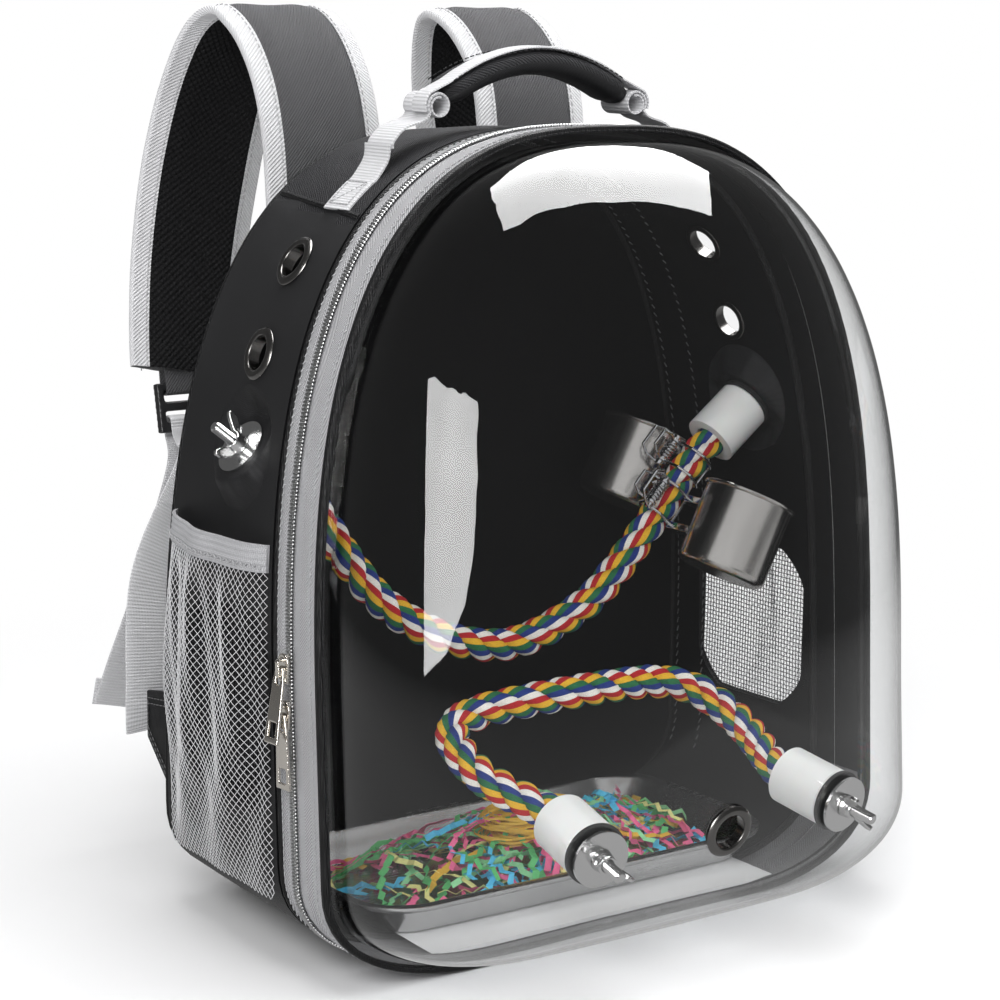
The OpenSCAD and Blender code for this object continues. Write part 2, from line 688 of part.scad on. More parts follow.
module lower_rubber_rings() { color(rubber_black) for (s = [-1, 1]) at_lower(s) perch_rubber(lower_wall); }
module lower_bolts() { color(bright_steel) for (s = [-1, 1]) at_lower(s) perch_bolt(lower_wall); }
module lower_washers() { color(bright_steel) for (s = [-1, 1]) at_lower(s) perch_washer(); }
module lower_wing_nut_left() { color(bright_steel) at_lower(-1) rotate([0, 0, 60]) perch_wing_nut(); }
module lower_wing_nut_right() { color(bright_steel) at_lower(1) rotate([0, 0, 40]) perch_wing_nut(); }

// Where a rope starts, just clear of the bolt's head inside its cap
rope_start = cap_floor + head_h + 3 * seam;
function upper_axis(side) = [side * cos(upper_tilt), 0, sin(upper_tilt)];
function upper_seat(side) = [side * side_x(upper_perch_y, upper_perch_z), upper_perch_y, upper_perch_z];
function along_upper(side, depth) = upper_seat(side) + (cap_top(wall) - depth) * upper_axis(side);
// The upper rope hangs in a plane across the cabin
upper_low_z = upper_perch_z - upper_sag;
// The rope is straight for a short way where each clip grips it
far_rise = 45;
near_rise = 48;
straight = 10;
far_along = [cos(far_rise), 0, sin(far_rise)];
near_along = [cos(near_rise), 0, sin(near_rise)];
clip_far = along_upper(1, cap_l + 10) - straight * far_along;
clip_near = clip_far - [16.6, 0, 18.4];
sag_y = upper_perch_y - 3;
upper_path = concat(
    [along_upper(-1, rope_start), along_upper(-1, cap_l + 1), along_upper(-1, cap_l + 9)],
    [[-101, upper_perch_y - 1, upper_low_z + 55], [-78, sag_y + 1, upper_low_z + 29],
     [-42, sag_y, upper_low_z + 8], [0, sag_y, upper_low_z], [42, sag_y, upper_low_z + 13],
     [68, sag_y + 2, upper_low_z + 31]],
    [for (k = [-1 : 1]) clip_near + k * straight * near_along],
    [for (k = [-1 : 1]) clip_far + k * straight * far_along],
    [along_upper(1, cap_l + 1), along_upper(1, rope_start)]);
module upper_rope() {
    color("royalblue") sweep(smooth(upper_path, 3), round_section(rope_r, 10), [0, 1, 0]);
}
function lower_axis(side) = -dome_normal(side * lower_perch_x, lower_perch_z);
function along_lower(side, depth) = dome_point(side * lower_perch_x, lower_perch_z)
    + (dome_seat + cap_top(lower_wall) - depth) * lower_axis(side);
lower_back_y = front_y(0) + lower_reach;
lower_bend = [[80, -43, -22], [81, -20, -14], [74, -3, -7], [56, 3, -3], [30, 2, -1]];
lower_path = concat(
    [along_lower(-1, rope_start), along_lower(-1, cap_l + 1), along_lower(-1, cap_l + 9)],
    [for (p = lower_bend) [-p.x, lower_back_y + p.y, lower_rope_z + p.z]],
    [[0, lower_back_y, lower_rope_z]],
    [for (p = reversed(lower_bend)) [p.x, lower_back_y + p.y, lower_rope_z + p.z]],
    [along_lower(1, cap_l + 9), along_lower(1, cap_l + 1), along_lower(1, rope_start)]);
module lower_rope() {
    color("gold") sweep(smooth(lower_path, 3), round_section(rope_r, 10), [0, 0, 1]);
}

// ---- Vent rings, windows and pockets ----------------------------------------------------------

module side_vent_rings() {
    color(gunmetal)
        for (side = [-1, 1], z = [ring_low_z, ring_high_z])
            on_side(side, ring_y, z) vent_ring(wall + 0.6);
}
module net_plate() {
    difference() {
        window_shape(-seam);
        intersection() {
            window_shape(-4);
            for (i = [-6 : 6], k = [-5 : 5])
                translate([i, k] * net_pitch) square(net_pitch - net_strand, center = true);
        }
    }
}
module window_nets() {
    net_t = 1;
    color(webbing_grey)
        for (side = [-1, 1])
            translate([-side * wall / 2, 0, 0])
                through_side(side, net_t) net_plate();
}
// Outer face of a pocket: u runs from its front edge to its rear, v from bottom to top
function pocket_out(u, v) =
    let (across = pow(sin(180 * u), 0.6), up = pow(sin(90 * min(1, v * 1.6 + 0.03)), 0.8),
         fold = 1 + 0.07 * sin(360 * 2.5 * u) * v)
    pocket_bulge * across * up * (1 - 0.25 * v) * fold;
pocket_cols = 10;
function pocket_ring(side, v, inner, outer) =
    let (z = mix(pocket_bottom, pocket_top, v), front = front_y(z) + gusset_set + pocket_front)
    concat(
        [for (i = [0 : pocket_cols])
            let (u = i / pocket_cols, y = mix(front, pocket_rear, u))
            [side * (side_x(y, z) + seam + outer + pocket_out(u, v)), y, z]],
        [for (i = [pocket_cols : -1 : 0])
            let (u = mix(0.02, 0.98, i / pocket_cols), y = mix(front, pocket_rear, u))
            [side * (side_x(y, z) + seam + inner + max(0, pocket_out(u, v) - pocket_t)), y, z]]);
module pocket_wall(side, from, to, inner, outer, steps) {
    rings = [for (k = [0 : steps]) pocket_ring(side, mix(from, to, k / steps), inner, outer)];
    sheet_solid(side > 0 ? [for (k = [steps : -1 : 0]) rings[k]] : rings);
}
hem_share = 1 - hem_h / (pocket_top - pocket_bottom);
module pocket(side) { color(webbing_grey) pocket_wall(side, 0, hem_share - 0.002, 0.1, 0.9, 8); }
module pocket_hem(side) { color("lightgrey") pocket_wall(side, hem_share, 1, 0, 1.6, 2); }
module pocket_left() { pocket(-1); }
module pocket_right() { pocket(1); }
module pocket_hem_left() { pocket_hem(-1); }
module pocket_hem_right() { pocket_hem(1); }

// ---- Cups and clips ---------------------------------------------------------------------------

cup_reach = rope_r + cup_gap + cup_r;
// Each cup's offset from its clip, along the rope and square to it
cup_shift_far = [-8, 1];
cup_shift_near = [2, -21];
clip_pin = [6.5, 12.6] * (rope_r + 2 * clip_wire_r + 3.7) / 14.2;
eye_x = 6.5;
arm_x = 8.8;
lever_h = 12;
grip = rope_r + clip_wire_r + 0.5;

// The clip's own frame: X along the rope, +Y towards its cup
module at_clip(which) {
    translate(which > 0 ? clip_far : clip_near)
        rotate([0, which > 0 ? -far_rise : -near_rise, 0])
            mirror([0, which > 0 ? 0 : 1, 0]) children();
}
module cup_shell() {
    lip = 1.3;
    fillet = 4;
    color(bright_steel)
        rotate_extrude($fn = 96)
            polygon(concat(
                [[0, 0], [cup_r - fillet, 0]],
                [for (a = [-75 : 15 : 0]) [cup_r - fillet + fillet * cos(a), fillet + fillet * sin(a)]],
                [[cup_r, cup_h - lip]],
                [for (a = [-60 : 30 : 180]) [cup_r + lip * (0.4 + cos(a) * 0.8), cup_h + lip * sin(a) * 0.8]],
                [[cup_r - cup_t, cup_h - lip]],
                [for (a = [0 : -15 : -90])
                    [cup_r - fillet + (fillet - cup_t) * cos(a), fillet + (fillet - cup_t) * sin(a)]],
                [[0, cup_t]]));
}
module cup(which) {
    at_clip(which) at_cup(which) cup_shell();
}
// From the clip's frame to the middle of the cup's base
module at_cup(which) {
    shift = which > 0 ? cup_shift_far : cup_shift_near;
    translate([shift.x, cup_reach, shift.y])
        rotate([0, (which > 0 ? far_rise : near_rise) + cup_tilt, 0])
            translate([0, 0, -cup_h / 2]) children();
}
// Wire path round one side of the rope, from the pin down to a hooked end
function hook(side, x) = [[x, clip_pin.x, clip_pin.y],
    [x, side > 0 ? grip + 0.6 : clip_pin.x - 5, side > 0 ? 6 : grip + 1.9],
    if (side < 0) [x, -5.4, grip - 1],
    [x, side * grip, side > 0 ? 1 : 3],
    [x, side * grip * 0.94, -grip * 0.34],
    [x, side * grip * 0.64, -grip * 0.77],
    [x, side * grip * 0.2, -grip * 0.98]];
module wire(path) {
    sweep(path, round_section(clip_wire_r, 6), [0, 1, 0.2]);
}
module clip_frame(which) {
    lug_z = which > 0 ? 1 : -7;
    color(bright_steel)
        at_clip(which) {
            // One wire grips the rope and one rises from the pin as a finger lever
            wire(concat(hook(1, arm_x), reversed(hook(1, -arm_x))));
            wire([[arm_x, clip_pin.x, clip_pin.y], [arm_x, clip_pin.x + 4, clip_pin.y + lever_h * 0.6],
                [arm_x - 2.5, clip_pin.x + 5, clip_pin.y + lever_h],
                [2.5 - arm_x, clip_pin.x + 5, clip_pin.y + lever_h],
                [-arm_x, clip_pin.x + 4, clip_pin.y + lever_h * 0.6], [-arm_x, clip_pin.x, clip_pin.y]]);
            translate([-arm_x - 1, clip_pin.x, clip_pin.y])
                rotate([0, 90, 0]) cylinder(r = clip_pin_r, h = 2 * arm_x + 2);
            // The lug that is welded to the cup
            difference() {
                for (s = [-1, 1])
                    translate([s * arm_x - 2, sqrt(grip * grip - lug_z * lug_z) - 0.4, lug_z - 3])
                        cube([4, cup_gap + 14, 6]);
                at_cup(which) translate([0, 0, -cup_h]) cylinder(r = cup_r + seam, h = 3 * cup_h, $fn = 96);
                translate([-30, 0, 0]) rotate([0, 90, 0]) cylinder(r = rope_r + slot_play, h = 60, $fn = 48);
            }
        }
}
module clip_jaw(which) {
    eye_w = 1.5;
    color(bright_steel)
        at_clip(which)
            difference() {
                union() {
                    wire(concat(hook(-1, eye_x), reversed(hook(-1, -eye_x))));
                    wire([[eye_x, clip_pin.x, clip_pin.y], [eye_x, clip_pin.x - 3, clip_pin.y + lever_h * 0.6],
                        [eye_x - 2, clip_pin.x - 3.5, clip_pin.y + lever_h],
                        [2 - eye_x, clip_pin.x - 3.5, clip_pin.y + lever_h],
                        [-eye_x, clip_pin.x - 3, clip_pin.y + lever_h * 0.6],
                        [-eye_x, clip_pin.x, clip_pin.y]]);
                    for (s = [-1, 1])
                        translate([s * eye_x - eye_w / 2, clip_pin.x, clip_pin.y])
                            rotate([0, 90, 0]) cylinder(r = clip_pin_r + 1.3, h = eye_w);
                }
                translate([-arm_x - 2, clip_pin.x, clip_pin.y])
                    rotate([0, 90, 0]) cylinder(r = clip_pin_r + fit_play, h = 2 * arm_x + 4);
            }
}
spring_r = clip_pin_r + spring_wire_r + 0.3;
spring_path = [for (i = [0 : 8 * spring_turns])
    [spring_pitch * (i / 8 - spring_turns / 2), spring_r * cos(45 * i), spring_r * sin(45 * i)]];
spring_gap = norm(spring_path[8] - spring_path[0]) - 2 * spring_wire_r;
echo(str("least gap of a clip's spring to itself, mm: ", spring_gap));
module clip_spring(which) {
    color(gunmetal)
        at_clip(which)
            translate([0, clip_pin.x, clip_pin.y])
                sweep(spring_path, round_section(spring_wire_r, 6), [1, 0, 0]);
}
module cup_far() { cup(1); }
module cup_near() { cup(-1); }
module clip_frame_far() { clip_frame(1); }
module clip_frame_near() { clip_frame(-1); }
module clip_spring_far() { clip_spring(1); }
module clip_spring_near() { clip_spring(-1); }
module clip_jaw_far() { clip_jaw(1); }
module clip_jaw_near() { clip_jaw(-1); }

// ---- Base, tray and bedding -------------------------------------------------------------------

board_z = max(wall, 2 * piping_r) + seam;
tray_z = board_z + board_t + seam;
module base_board() {
    foot = half_w - corner_w + 10;
    color("white")
        translate([0, rear_y - panel_t - 1, 0])
            rotate([90, 0, 0])
                linear_extrude(body_d - panel_t - 8)
                    polygon([[-foot, board_z], [foot, board_z], [foot + 24, board_z + board_t],
                        [-foot - 24, board_z + board_t]]);
}
// Rounded rectangle of the tray, drawn in by an inset
function tray_ring(inset, z) =
    let (w = tray_w / 2 - inset, d = tray_d / 2 - inset, r = max(tray_corner - inset, 6))
    [for (q = [[1, -1, 360], [-1, -1, 270], [-1, 1, 180], [1, 1, 90]], i = [0 : 6])
        let (a = q[2] - 15 * i)
        [q[0] * (w - r) + r * cos(a), tray_y + q[1] * (d - r) + r * sin(a), tray_z + z]];
module tray() {
    slope = 10;
    color(bright_steel)
        capped_solid([tray_ring(tray_rim + slope, 0), tray_ring(tray_rim + slope - 3, 1.4),
            tray_ring(tray_rim, tray_h - tray_t), tray_ring(0.8, tray_h - tray_t),
            tray_ring(0.8, tray_h - 2.6), tray_ring(0, tray_h - 2.6), tray_ring(0, tray_h - 0.3),
            tray_ring(0.6, tray_h), tray_ring(tray_rim + tray_t, tray_h),
            tray_ring(tray_rim + slope - 3 + tray_t, 1.4 + tray_t),
            tray_ring(tray_rim + slope + 1, tray_t)]);
}
// A loose heap of crinkled paper strips, highest a little right of the middle
module paper_bedding() {
    steps = 28;
    function heap_ring(share, z) = [for (i = [0 : steps - 1])
        let (a = -360 * i / steps, wave = 1 + 0.05 * sin(5 * a) + 0.04 * sin(9 * a + 40))
        [oval(tray_w / 2 - 30, tray_d / 2 - 26, 3, a).x * share * wave,
         tray_y + oval(tray_w / 2 - 30, tray_d / 2 - 26, 3, a).y * share * wave,
         tray_z + tray_t + seam + z * (1 + 0.16 * sin(3 * a + 70 * share))]];
    color("palegreen")
        capped_solid([heap_ring(0.9, 0), heap_ring(1, 0.3 * bedding_h), heap_ring(0.86, 0.6 * bedding_h),
            heap_ring(0.62, 0.8 * bedding_h), heap_ring(0.3, 0.9 * bedding_h)]);
}

// ---- Sliders and pull tabs --------------------------------------------------------------------

// All of a slider's sizes are measured outward from the tape's outer face
function zip_line(z) = [-(side_x(front_y(z) + zip_set, z) - tape_sink), front_y(z) + zip_set, z];
plate_out = teeth_h + seam + slider_play;
bail_in = tab_t + 0.8;
tab_axis = plate_out + slider_plate + bail_in / 2;
module at_slider(z) {
    // Local +X is outward, +Y towards the back, +Z up along the leaning zip
    translate(zip_line(z)) rotate([-lean, 0, 0]) mirror([1, 0, 0]) children();
}
module slider_outline(w, l) {
    hull() {
        translate([0, l / 2 - w / 2]) circle(d = w, $fn = 32);
        translate([0, 1.5 - l / 2]) square([0.7 * w, 3], center = true);
    }
}
module slider(z) {
    bail_l = 9;
    color(bright_steel)
        at_slider(z) {
            // Outer plate, inner plate and the post between the two rows of teeth
            translate([plate_out, 0, 0]) rotate([90, 0, 90]) linear_extrude(slider_plate) slider_outline(slider_w, slider_l);
            translate([-tape_t - slider_play - slider_plate, 0, 0])
                rotate([90, 0, 90]) linear_extrude(slider_plate) slider_outline(slider_w, slider_l);
            translate([-tape_t - slider_play - 0.5, -teeth_gap / 4, slider_l / 2 - 6])
                cube([tape_t + plate_out + slider_play + 1, teeth_gap / 2, 5]);
            // The bail that carries the pull tab
            translate([plate_out + slider_plate - 0.3, 0, 0])
                rotate([90, 0, 0])
                    translate([0, 0, -1.3])
                        linear_extrude(2.6)
                            difference() {
                                polygon([[0, -bail_l / 2], [bail_in + 0.3, -bail_l / 2], [bail_in + 1.3, 1 - bail_l / 2],
                                    [bail_in + 1.3, bail_l / 2 - 1], [bail_in + 0.3, bail_l / 2], [0, bail_l / 2]]);
                                translate([-0.2, 1.2 - bail_l / 2]) square([bail_in + 0.5, bail_l - 2.4]);
                            }
        }
}
module pull_tab(z, tilt) {
    bar = 1.4;
    color(bright_steel)
        at_slider(z)
            translate([tab_axis, 0, 0])
                rotate([0, -tilt, 0])
                    translate([-tab_t / 2, 0, 0])
                        rotate([90, 0, 90])
                            linear_extrude(tab_t)
                                difference() {
                                    hull() {
                                        translate([0, bar / 2 - 2.6]) square([6.4, 5.2], center = true);
                                        translate([0, 2 - tab_l]) square([tab_w, 4], center = true);
                                        translate([0, -9]) square([0.8 * tab_w, 4], center = true);
                                    }
                                    translate([0, -bar / 2 - 3.4]) square([4.2, 6.8], center = true);
                                    translate([0, 6.5 - tab_l]) square([tab_w - 5, 7], center = true);
                                }
}
module zip_slider_upper() { slider(slider_upper_z); }
module zip_slider_lower() { slider(slider_lower_z); }
module pull_tab_upper() { pull_tab(slider_upper_z, tab_tilt); }
module pull_tab_lower() { pull_tab(slider_lower_z, 0); }

// ---- Handle -----------------------------------------------------------------------------------

// Height at which the side reaches a distance from the middle, found by halving
function side_z(x, y, low = shoulder_z, high = body_h - rear_drop, steps = 16) = steps == 0 ? low
    : let (z = (low + high) / 2)
      side_x(y, z) > x ? side_z(x, y, z, high, steps - 1) : side_z(x, y, low, z, steps - 1);
pad_path = [for (i = [-8 : 8])
    let (t = i / 8) [t * handle_half, handle_y, handle_end_z + handle_rise * (1 - t * t)]];
module handle_pad() {
    color(twill_grey) sweep(pad_path, pad_section(handle_t, handle_w), [0, 0, 1]);
}
roll_r = 6.5;
pad_slope = atan(2 * handle_rise / handle_half);
roll = [handle_half + (roll_r + 2 * seam) * cos(pad_slope), 0, handle_end_z - (roll_r + 2 * seam) * sin(pad_slope)];
module handle_webbing() {
    color(webbing_grey)
        both_sides() {
            sweep([[fold_x, handle_y, handle_fold_z - 2.5], [fold_x, handle_y, handle_fold_z + 3],
                [fold_x - 6, handle_y, handle_fold_z + 11], [roll.x + 10, handle_y, roll.z - 2],
                [roll.x + 5, handle_y, roll.z]], flat_section(2, webbing_w - 5), [1, 0, 0]);
            // The turned-back roll that holds the pad's end
            translate([roll.x, handle_y + webbing_w / 2 - 2, roll.z])
                rotate([90, 0, 0])
                    difference() {
                        cylinder(r = roll_r, h = webbing_w - 4, $fn = 48);
                        translate([0, 0, -1]) cylinder(r = roll_r - 3, h = webbing_w, $fn = 32);
                    }
        }
}
module handle_tabs() {
    stand = fold_x + 2 + webbing_t / 2;
    path = concat(
        [for (x = [fold_x + 34, fold_x + 26, fold_x + 18, fold_x + 9])
            [x, handle_y, side_z(x, handle_y)] + (webbing_t / 2 + 3 * seam) * side_normal(handle_y, side_z(x, handle_y))],
        [[stand + 1, handle_y, handle_fold_z - 4], [stand, handle_y, handle_fold_z + 3]]);
    color(webbing_grey)
        both_sides() sweep(path, flat_section(webbing_t, webbing_w - 5), side_normal(handle_y, path[0].z));
}

// ---- Shoulder straps --------------------------------------------------------------------------

strap_back = rear_y + padding_t * 0.5;
strap_mid_z = strap_top_z - strap_t / 2;
// The right strap stands a little further back than the left
function strap_lean(side) = side > 0 ? 14 : 0;
function strap_path(side) = smooth([
    [side * strap_x, rear_y + strap_t / 2 + 3 * seam, strap_root_z],
    [side * strap_x, strap_back + 4, strap_root_z + 36],
    [side * (strap_x + 1), strap_back + 13, strap_mid_z - 32],
    [side * (strap_x + 3), strap_back + 30 + strap_lean(side) / 2, strap_mid_z - 9],
    [side * (strap_x + 6), strap_back + 50 + strap_lean(side), strap_mid_z],
    [side * (strap_x + 11), strap_back + 68 + strap_lean(side), strap_mid_z - 12],
    [side * (strap_x + 18), strap_back + 80 + strap_lean(side), strap_mid_z - 42],
    [side * (strap_x + 27), strap_back + 83 + strap_lean(side), strap_mid_z - 82],
    [side * (strap_x + 37), strap_back + 78 + strap_lean(side), strap_mid_z - 124],
    [side * (strap_x + 45), strap_back + 69 + strap_lean(side), strap_mid_z - 160],
    [side * (strap_x + 50), strap_back + 61 + strap_lean(side), strap_mid_z - 186]], 2);
// Sweeps a section that stays level across the strap
module strap_sweep(side, section) {
    path = strap_path(side);
    t = path_tangents(path);
    capped_solid([for (i = [0 : len(path) - 1])
        let (across = unit([side, 0, 0] - (side * t[i].x) * t[i]), out = cross(t[i], across) * side,
             narrow = 1 - 0.12 * max(0, (i - 14) / 6))
        [for (s = section) path[i] + s.x * out + s.y * narrow * across * side]]);
}
module strap_pad(side) {
    core = strap_w - 2 * strap_edge - 4 * seam;
    color(twill_grey) strap_sweep(side, pad_section(strap_t, core));
}
module strap_edges(side) {
    edge = strap_edge;
    c = (strap_w - edge) / 2;
    color(webbing_grey)
        for (s = [-1, 1])
            strap_sweep(side, [for (p = pad_section(strap_t * 0.8, edge)) [p.x, p.y + s * c]]);
}
// The sewn loop at a strap's end, round the upper bar of its buckle
module lock_loop(side) {
    bar = 9.2;
    out = lock_t / 2 + seam;
    color(twill_grey)
        at_lock(side)
            translate([-webbing_w / 2, 0, 0])
                rotate([90, 0, 90])
                    linear_extrude(webbing_w)
                        difference() {
                            polygon([[-out - 1.4, bar - 2], [out + 1.4, bar - 2], [out + 1.4, lock_l / 2 + 8],
                                [-out - 1.4, lock_l / 2 + 8]]);
                            translate([-out, bar - seam]) square([2 * out, lock_l / 2 - bar + 2 * seam]);
                        }
}
module shoulder_strap_left() { strap_pad(-1); lock_loop(-1); }
module shoulder_strap_right() { strap_pad(1); lock_loop(1); }
module strap_binding_left() { strap_edges(-1); }
module strap_binding_right() { strap_edges(1); }

function strap_end(side) = strap_path(side)[20];
lock_l = 26;
lock_w = webbing_w + 9;
lock_t = 4.5;
// The buckle's own frame: X across, Z up, below the lower end of a strap
lock_drop = [0, -2, -lock_l / 2 - 5];
lock_lean = 12;
module at_lock(side) {
    translate(strap_end(side) + lock_drop) rotate([-lock_lean, 0, 0]) children();
}
function lock_point(side, y, z) = strap_end(side) + lock_drop
    + [0, y * cos(lock_lean) + z * sin(lock_lean), z * cos(lock_lean) - y * sin(lock_lean)];
slot_z = -4.8;
module ladder_locks() {
    color(rubber_black)
        for (side = [-1, 1])
            at_lock(side)
                rotate([90, 0, 0])
                    translate([0, 0, -lock_t / 2])
                        linear_extrude(lock_t)
                            difference() {
                                square([lock_w, lock_l], center = true);
                                translate([0, 6.2]) square([webbing_w + 1.6, 6], center = true);
                                translate([0, slot_z]) square([webbing_w + 1.6, 6], center = true);
                            }
}
anchor_reach = 34;
anchor_x = 156;
anchor_z = 90;
// The webbing comes up from the anchor, turns over the buckle's lower bar and hangs free
module strap_webbing(side) {
    off = lock_t / 2 + webbing_t / 2 + 1.1;
    turn = [[-off, slot_z - 8], [-off, slot_z - 3], [0.3 - off, slot_z - 1.2], [-0.5 * off, slot_z],
        [0.5 * off, slot_z], [off - 0.3, slot_z - 1.2], [off, slot_z - 3], [off, slot_z - 8]];
    e = strap_end(side) + lock_drop;
    rise = smooth([
        [side * anchor_x, rear_y + anchor_reach + webbing_t / 2 + 1.3, anchor_z - 10],
        [side * anchor_x, rear_y + anchor_reach + webbing_t / 2 + 1.3, anchor_z + 10],
        [side * (anchor_x - 9), mix(rear_y + anchor_reach, e.y, 0.5) - 3, mix(anchor_z, e.z, 0.45)],
        lock_point(side, -off - 1, slot_z - 26)], 3);
    tail = smooth([
        lock_point(side, off + 0.3, slot_z - 24), [e.x + side * 6, e.y + 4, e.z - 60],
        [e.x + side * 16, e.y + 13, e.z - 105], [e.x + side * 25, e.y + 22, e.z - 140],
        [e.x + side * 31, e.y + 28, e.z - 165]], 2);
    color(webbing_grey)
        sweep(concat(rise, [for (q = turn) lock_point(side, q.x, q.y)], tail),
            flat_section(webbing_t, webbing_w), [0, 1, 0]);
}
module strap_webbing_left() { strap_webbing(-1); }
module strap_webbing_right() { strap_webbing(1); }
module lower_anchors() {
    color(fabric_black)
        both_sides()
            translate([anchor_x - 1.5, 0, 0])
                rotate([90, 0, 90])
                    linear_extrude(3)
                        polygon([[rear_y + 2 * seam, 46], [rear_y + 2 * seam, 108],
                            [rear_y + anchor_reach, anchor_z + 12], [rear_y + anchor_reach, anchor_z - 13]]);
}

gusset();
rear_panel();
back_padding();
rear_piping();
front_piping();
body_zip_tape();
body_zip_teeth();
hinge_strip();
door_zip_tape();
door_zip_teeth();
flange_binding();
dome();
dome_vent_ring();
base_board();
side_vent_rings();
window_nets();
pocket_left();
pocket_right();
pocket_hem_left();
pocket_hem_right();
upper_rope();
upper_caps();
upper_rubber_rings();
upper_bolts();
upper_washers();
upper_wing_nut_left();
upper_wing_nut_right();
lower_rope();
lower_caps();
lower_rubber_rings();
lower_bolts();
lower_washers();
lower_wing_nut_left();
lower_wing_nut_right();
cup_far();
cup_near();
clip_frame_far();
clip_frame_near();
clip_spring_far();
clip_spring_near();
clip_jaw_far();
clip_jaw_near();
tray();
paper_bedding();
zip_slider_upper();
zip_slider_lower();
pull_tab_upper();
pull_tab_lower();
handle_pad();
handle_webbing();
handle_tabs();
shoulder_strap_left();
shoulder_strap_right();
strap_binding_left();
strap_binding_right();
ladder_locks();
strap_webbing_left();
strap_webbing_right();
lower_anchors();
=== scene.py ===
"""Looks of the soft travel carrier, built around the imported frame. Sizes in the helpers are in
millimetres, in the frame's own axes, and become metres when a mesh is made."""

import math
import random

import bmesh
import bpy
import numpy as np
from mathutils import Matrix, Vector
from mathutils.bvhtree import BVHTree

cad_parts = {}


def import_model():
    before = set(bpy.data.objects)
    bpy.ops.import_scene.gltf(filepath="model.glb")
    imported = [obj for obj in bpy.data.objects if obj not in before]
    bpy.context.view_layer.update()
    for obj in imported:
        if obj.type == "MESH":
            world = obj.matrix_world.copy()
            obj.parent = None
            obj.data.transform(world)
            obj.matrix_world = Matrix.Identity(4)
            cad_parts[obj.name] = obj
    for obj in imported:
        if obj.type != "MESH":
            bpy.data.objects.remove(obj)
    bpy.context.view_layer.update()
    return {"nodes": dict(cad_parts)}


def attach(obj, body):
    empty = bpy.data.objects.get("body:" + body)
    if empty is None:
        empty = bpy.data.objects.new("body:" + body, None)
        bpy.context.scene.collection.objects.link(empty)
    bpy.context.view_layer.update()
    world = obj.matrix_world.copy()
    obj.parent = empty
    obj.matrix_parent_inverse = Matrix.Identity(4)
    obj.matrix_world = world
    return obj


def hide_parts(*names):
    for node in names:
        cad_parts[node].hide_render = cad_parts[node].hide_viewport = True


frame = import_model()
MM = 0.001
SIDES = ((-1, "left"), (1, "right"))
SIDE_BASIS = Matrix(((0, 0, 1), (1, 0, 0), (0, 1, 0))).to_4x4()


def placed(name, data):
    obj = bpy.data.objects.new(name, data)
    bpy.context.scene.collection.objects.link(obj)
    return obj


# ---- Camera ------------------------------------------------------------------------------------

EYE = Vector((-0.745613, -1.027609, 0.451616))
AHEAD = Vector((0.56779, 0.80092, -0.19011)).normalized()
ROLL = math.radians(0.774)
side_axis = AHEAD.cross(Vector((0, 0, 1))).normalized()
top_axis = side_axis.cross(AHEAD)
camera_x = side_axis * math.cos(ROLL) + top_axis * math.sin(ROLL)
camera_y = top_axis * math.cos(ROLL) - side_axis * math.sin(ROLL)
camera_data = bpy.data.cameras.new("camera")
camera_data.lens = 91.40
camera_data.sensor_width = 36
camera = placed("camera", camera_data)
camera.matrix_world = Matrix.Translation(EYE) @ Matrix((camera_x, camera_y, -AHEAD)).transposed().to_4x4()
bpy.context.scene.camera = camera

# ---- Shape of the body, as in the part's source --------------------------------------------------

BODY_W, BODY_H, BODY_D = 341, 398, 166
HALF_W, REAR_Y = BODY_W / 2, BODY_D / 2
SHOULDER_Z, REAR_SHOULDER_Z = 129, 80
REAR_NARROW, REAR_DROP = 5, 8
LEAN = math.radians(3.2)
ARCH_POWER, CORNER_POWER = 2.7, 2.3
CORNER_W, CORNER_H = 98, 53
WALL = 2.5
SEAM = 0.2
PIPING_R = 2.2
DOME_DEPTH, DOME_T, DOME_CENTRE_Z, DOME_FOOT = 92, 1.5, 139, 7
SIDE_POWER, BOTTOM_POWER, TOP_POWER = 2.3, 2.6, 2.3
ZIP_END_Z = 10
PIPING_SET, GUSSET_SET, PANEL_SET = 40.4, 42.8, 4.6
TAPE_LINING_Z = 48
PERCH_Y, PERCH_Z, PERCH_TILT = 13, 245, math.radians(38)
PERCH_PATCH_R, PERCH_SEAT_R = 30, 17
LOWER_PERCH_X, LOWER_PERCH_Z = 74, 71
CAP_L, CAP_FLOOR, HEAD_H, RUBBER_T, BOLT_OUT, WASHER_T = 30, 5, 3.6, 2, 18, 1.5
DOME_SEAT = 0.7
LOWER_WALL = DOME_T + DOME_SEAT + 1.5
WINDOW_W, WINDOW_H, WINDOW_Z, WINDOW_Y = 84, 88, 120, 15
RING_Y, RING_HIGH_Z, RING_LOW_Z, RING_HOLE_R = 16, 332, 289, 9.7
ROPE_LAY, STRAND_R, STRAND_SET = 43, 4.45, 4.15


def mix(a, b, t):
    return a + (b - a) * t


def unit(v):
    v = np.asarray(v, float)
    return v / max(np.linalg.norm(v), 1e-9)


def unit_rows(v):
    return v / np.maximum(np.linalg.norm(v, axis=-1), 1e-9)[..., None]


def looped(line):
    return np.vstack([line, line[:1]])


def ease(t):
    t = min(max(t, 0.0), 1.0)
    return t * t * (3 - 2 * t)


def oval(a, b, power, angle):
    c, s = math.cos(angle), math.sin(angle)
    r = (abs(c / a) ** power + abs(s / b) ** power) ** (-1 / power)
    return r * c, r * s


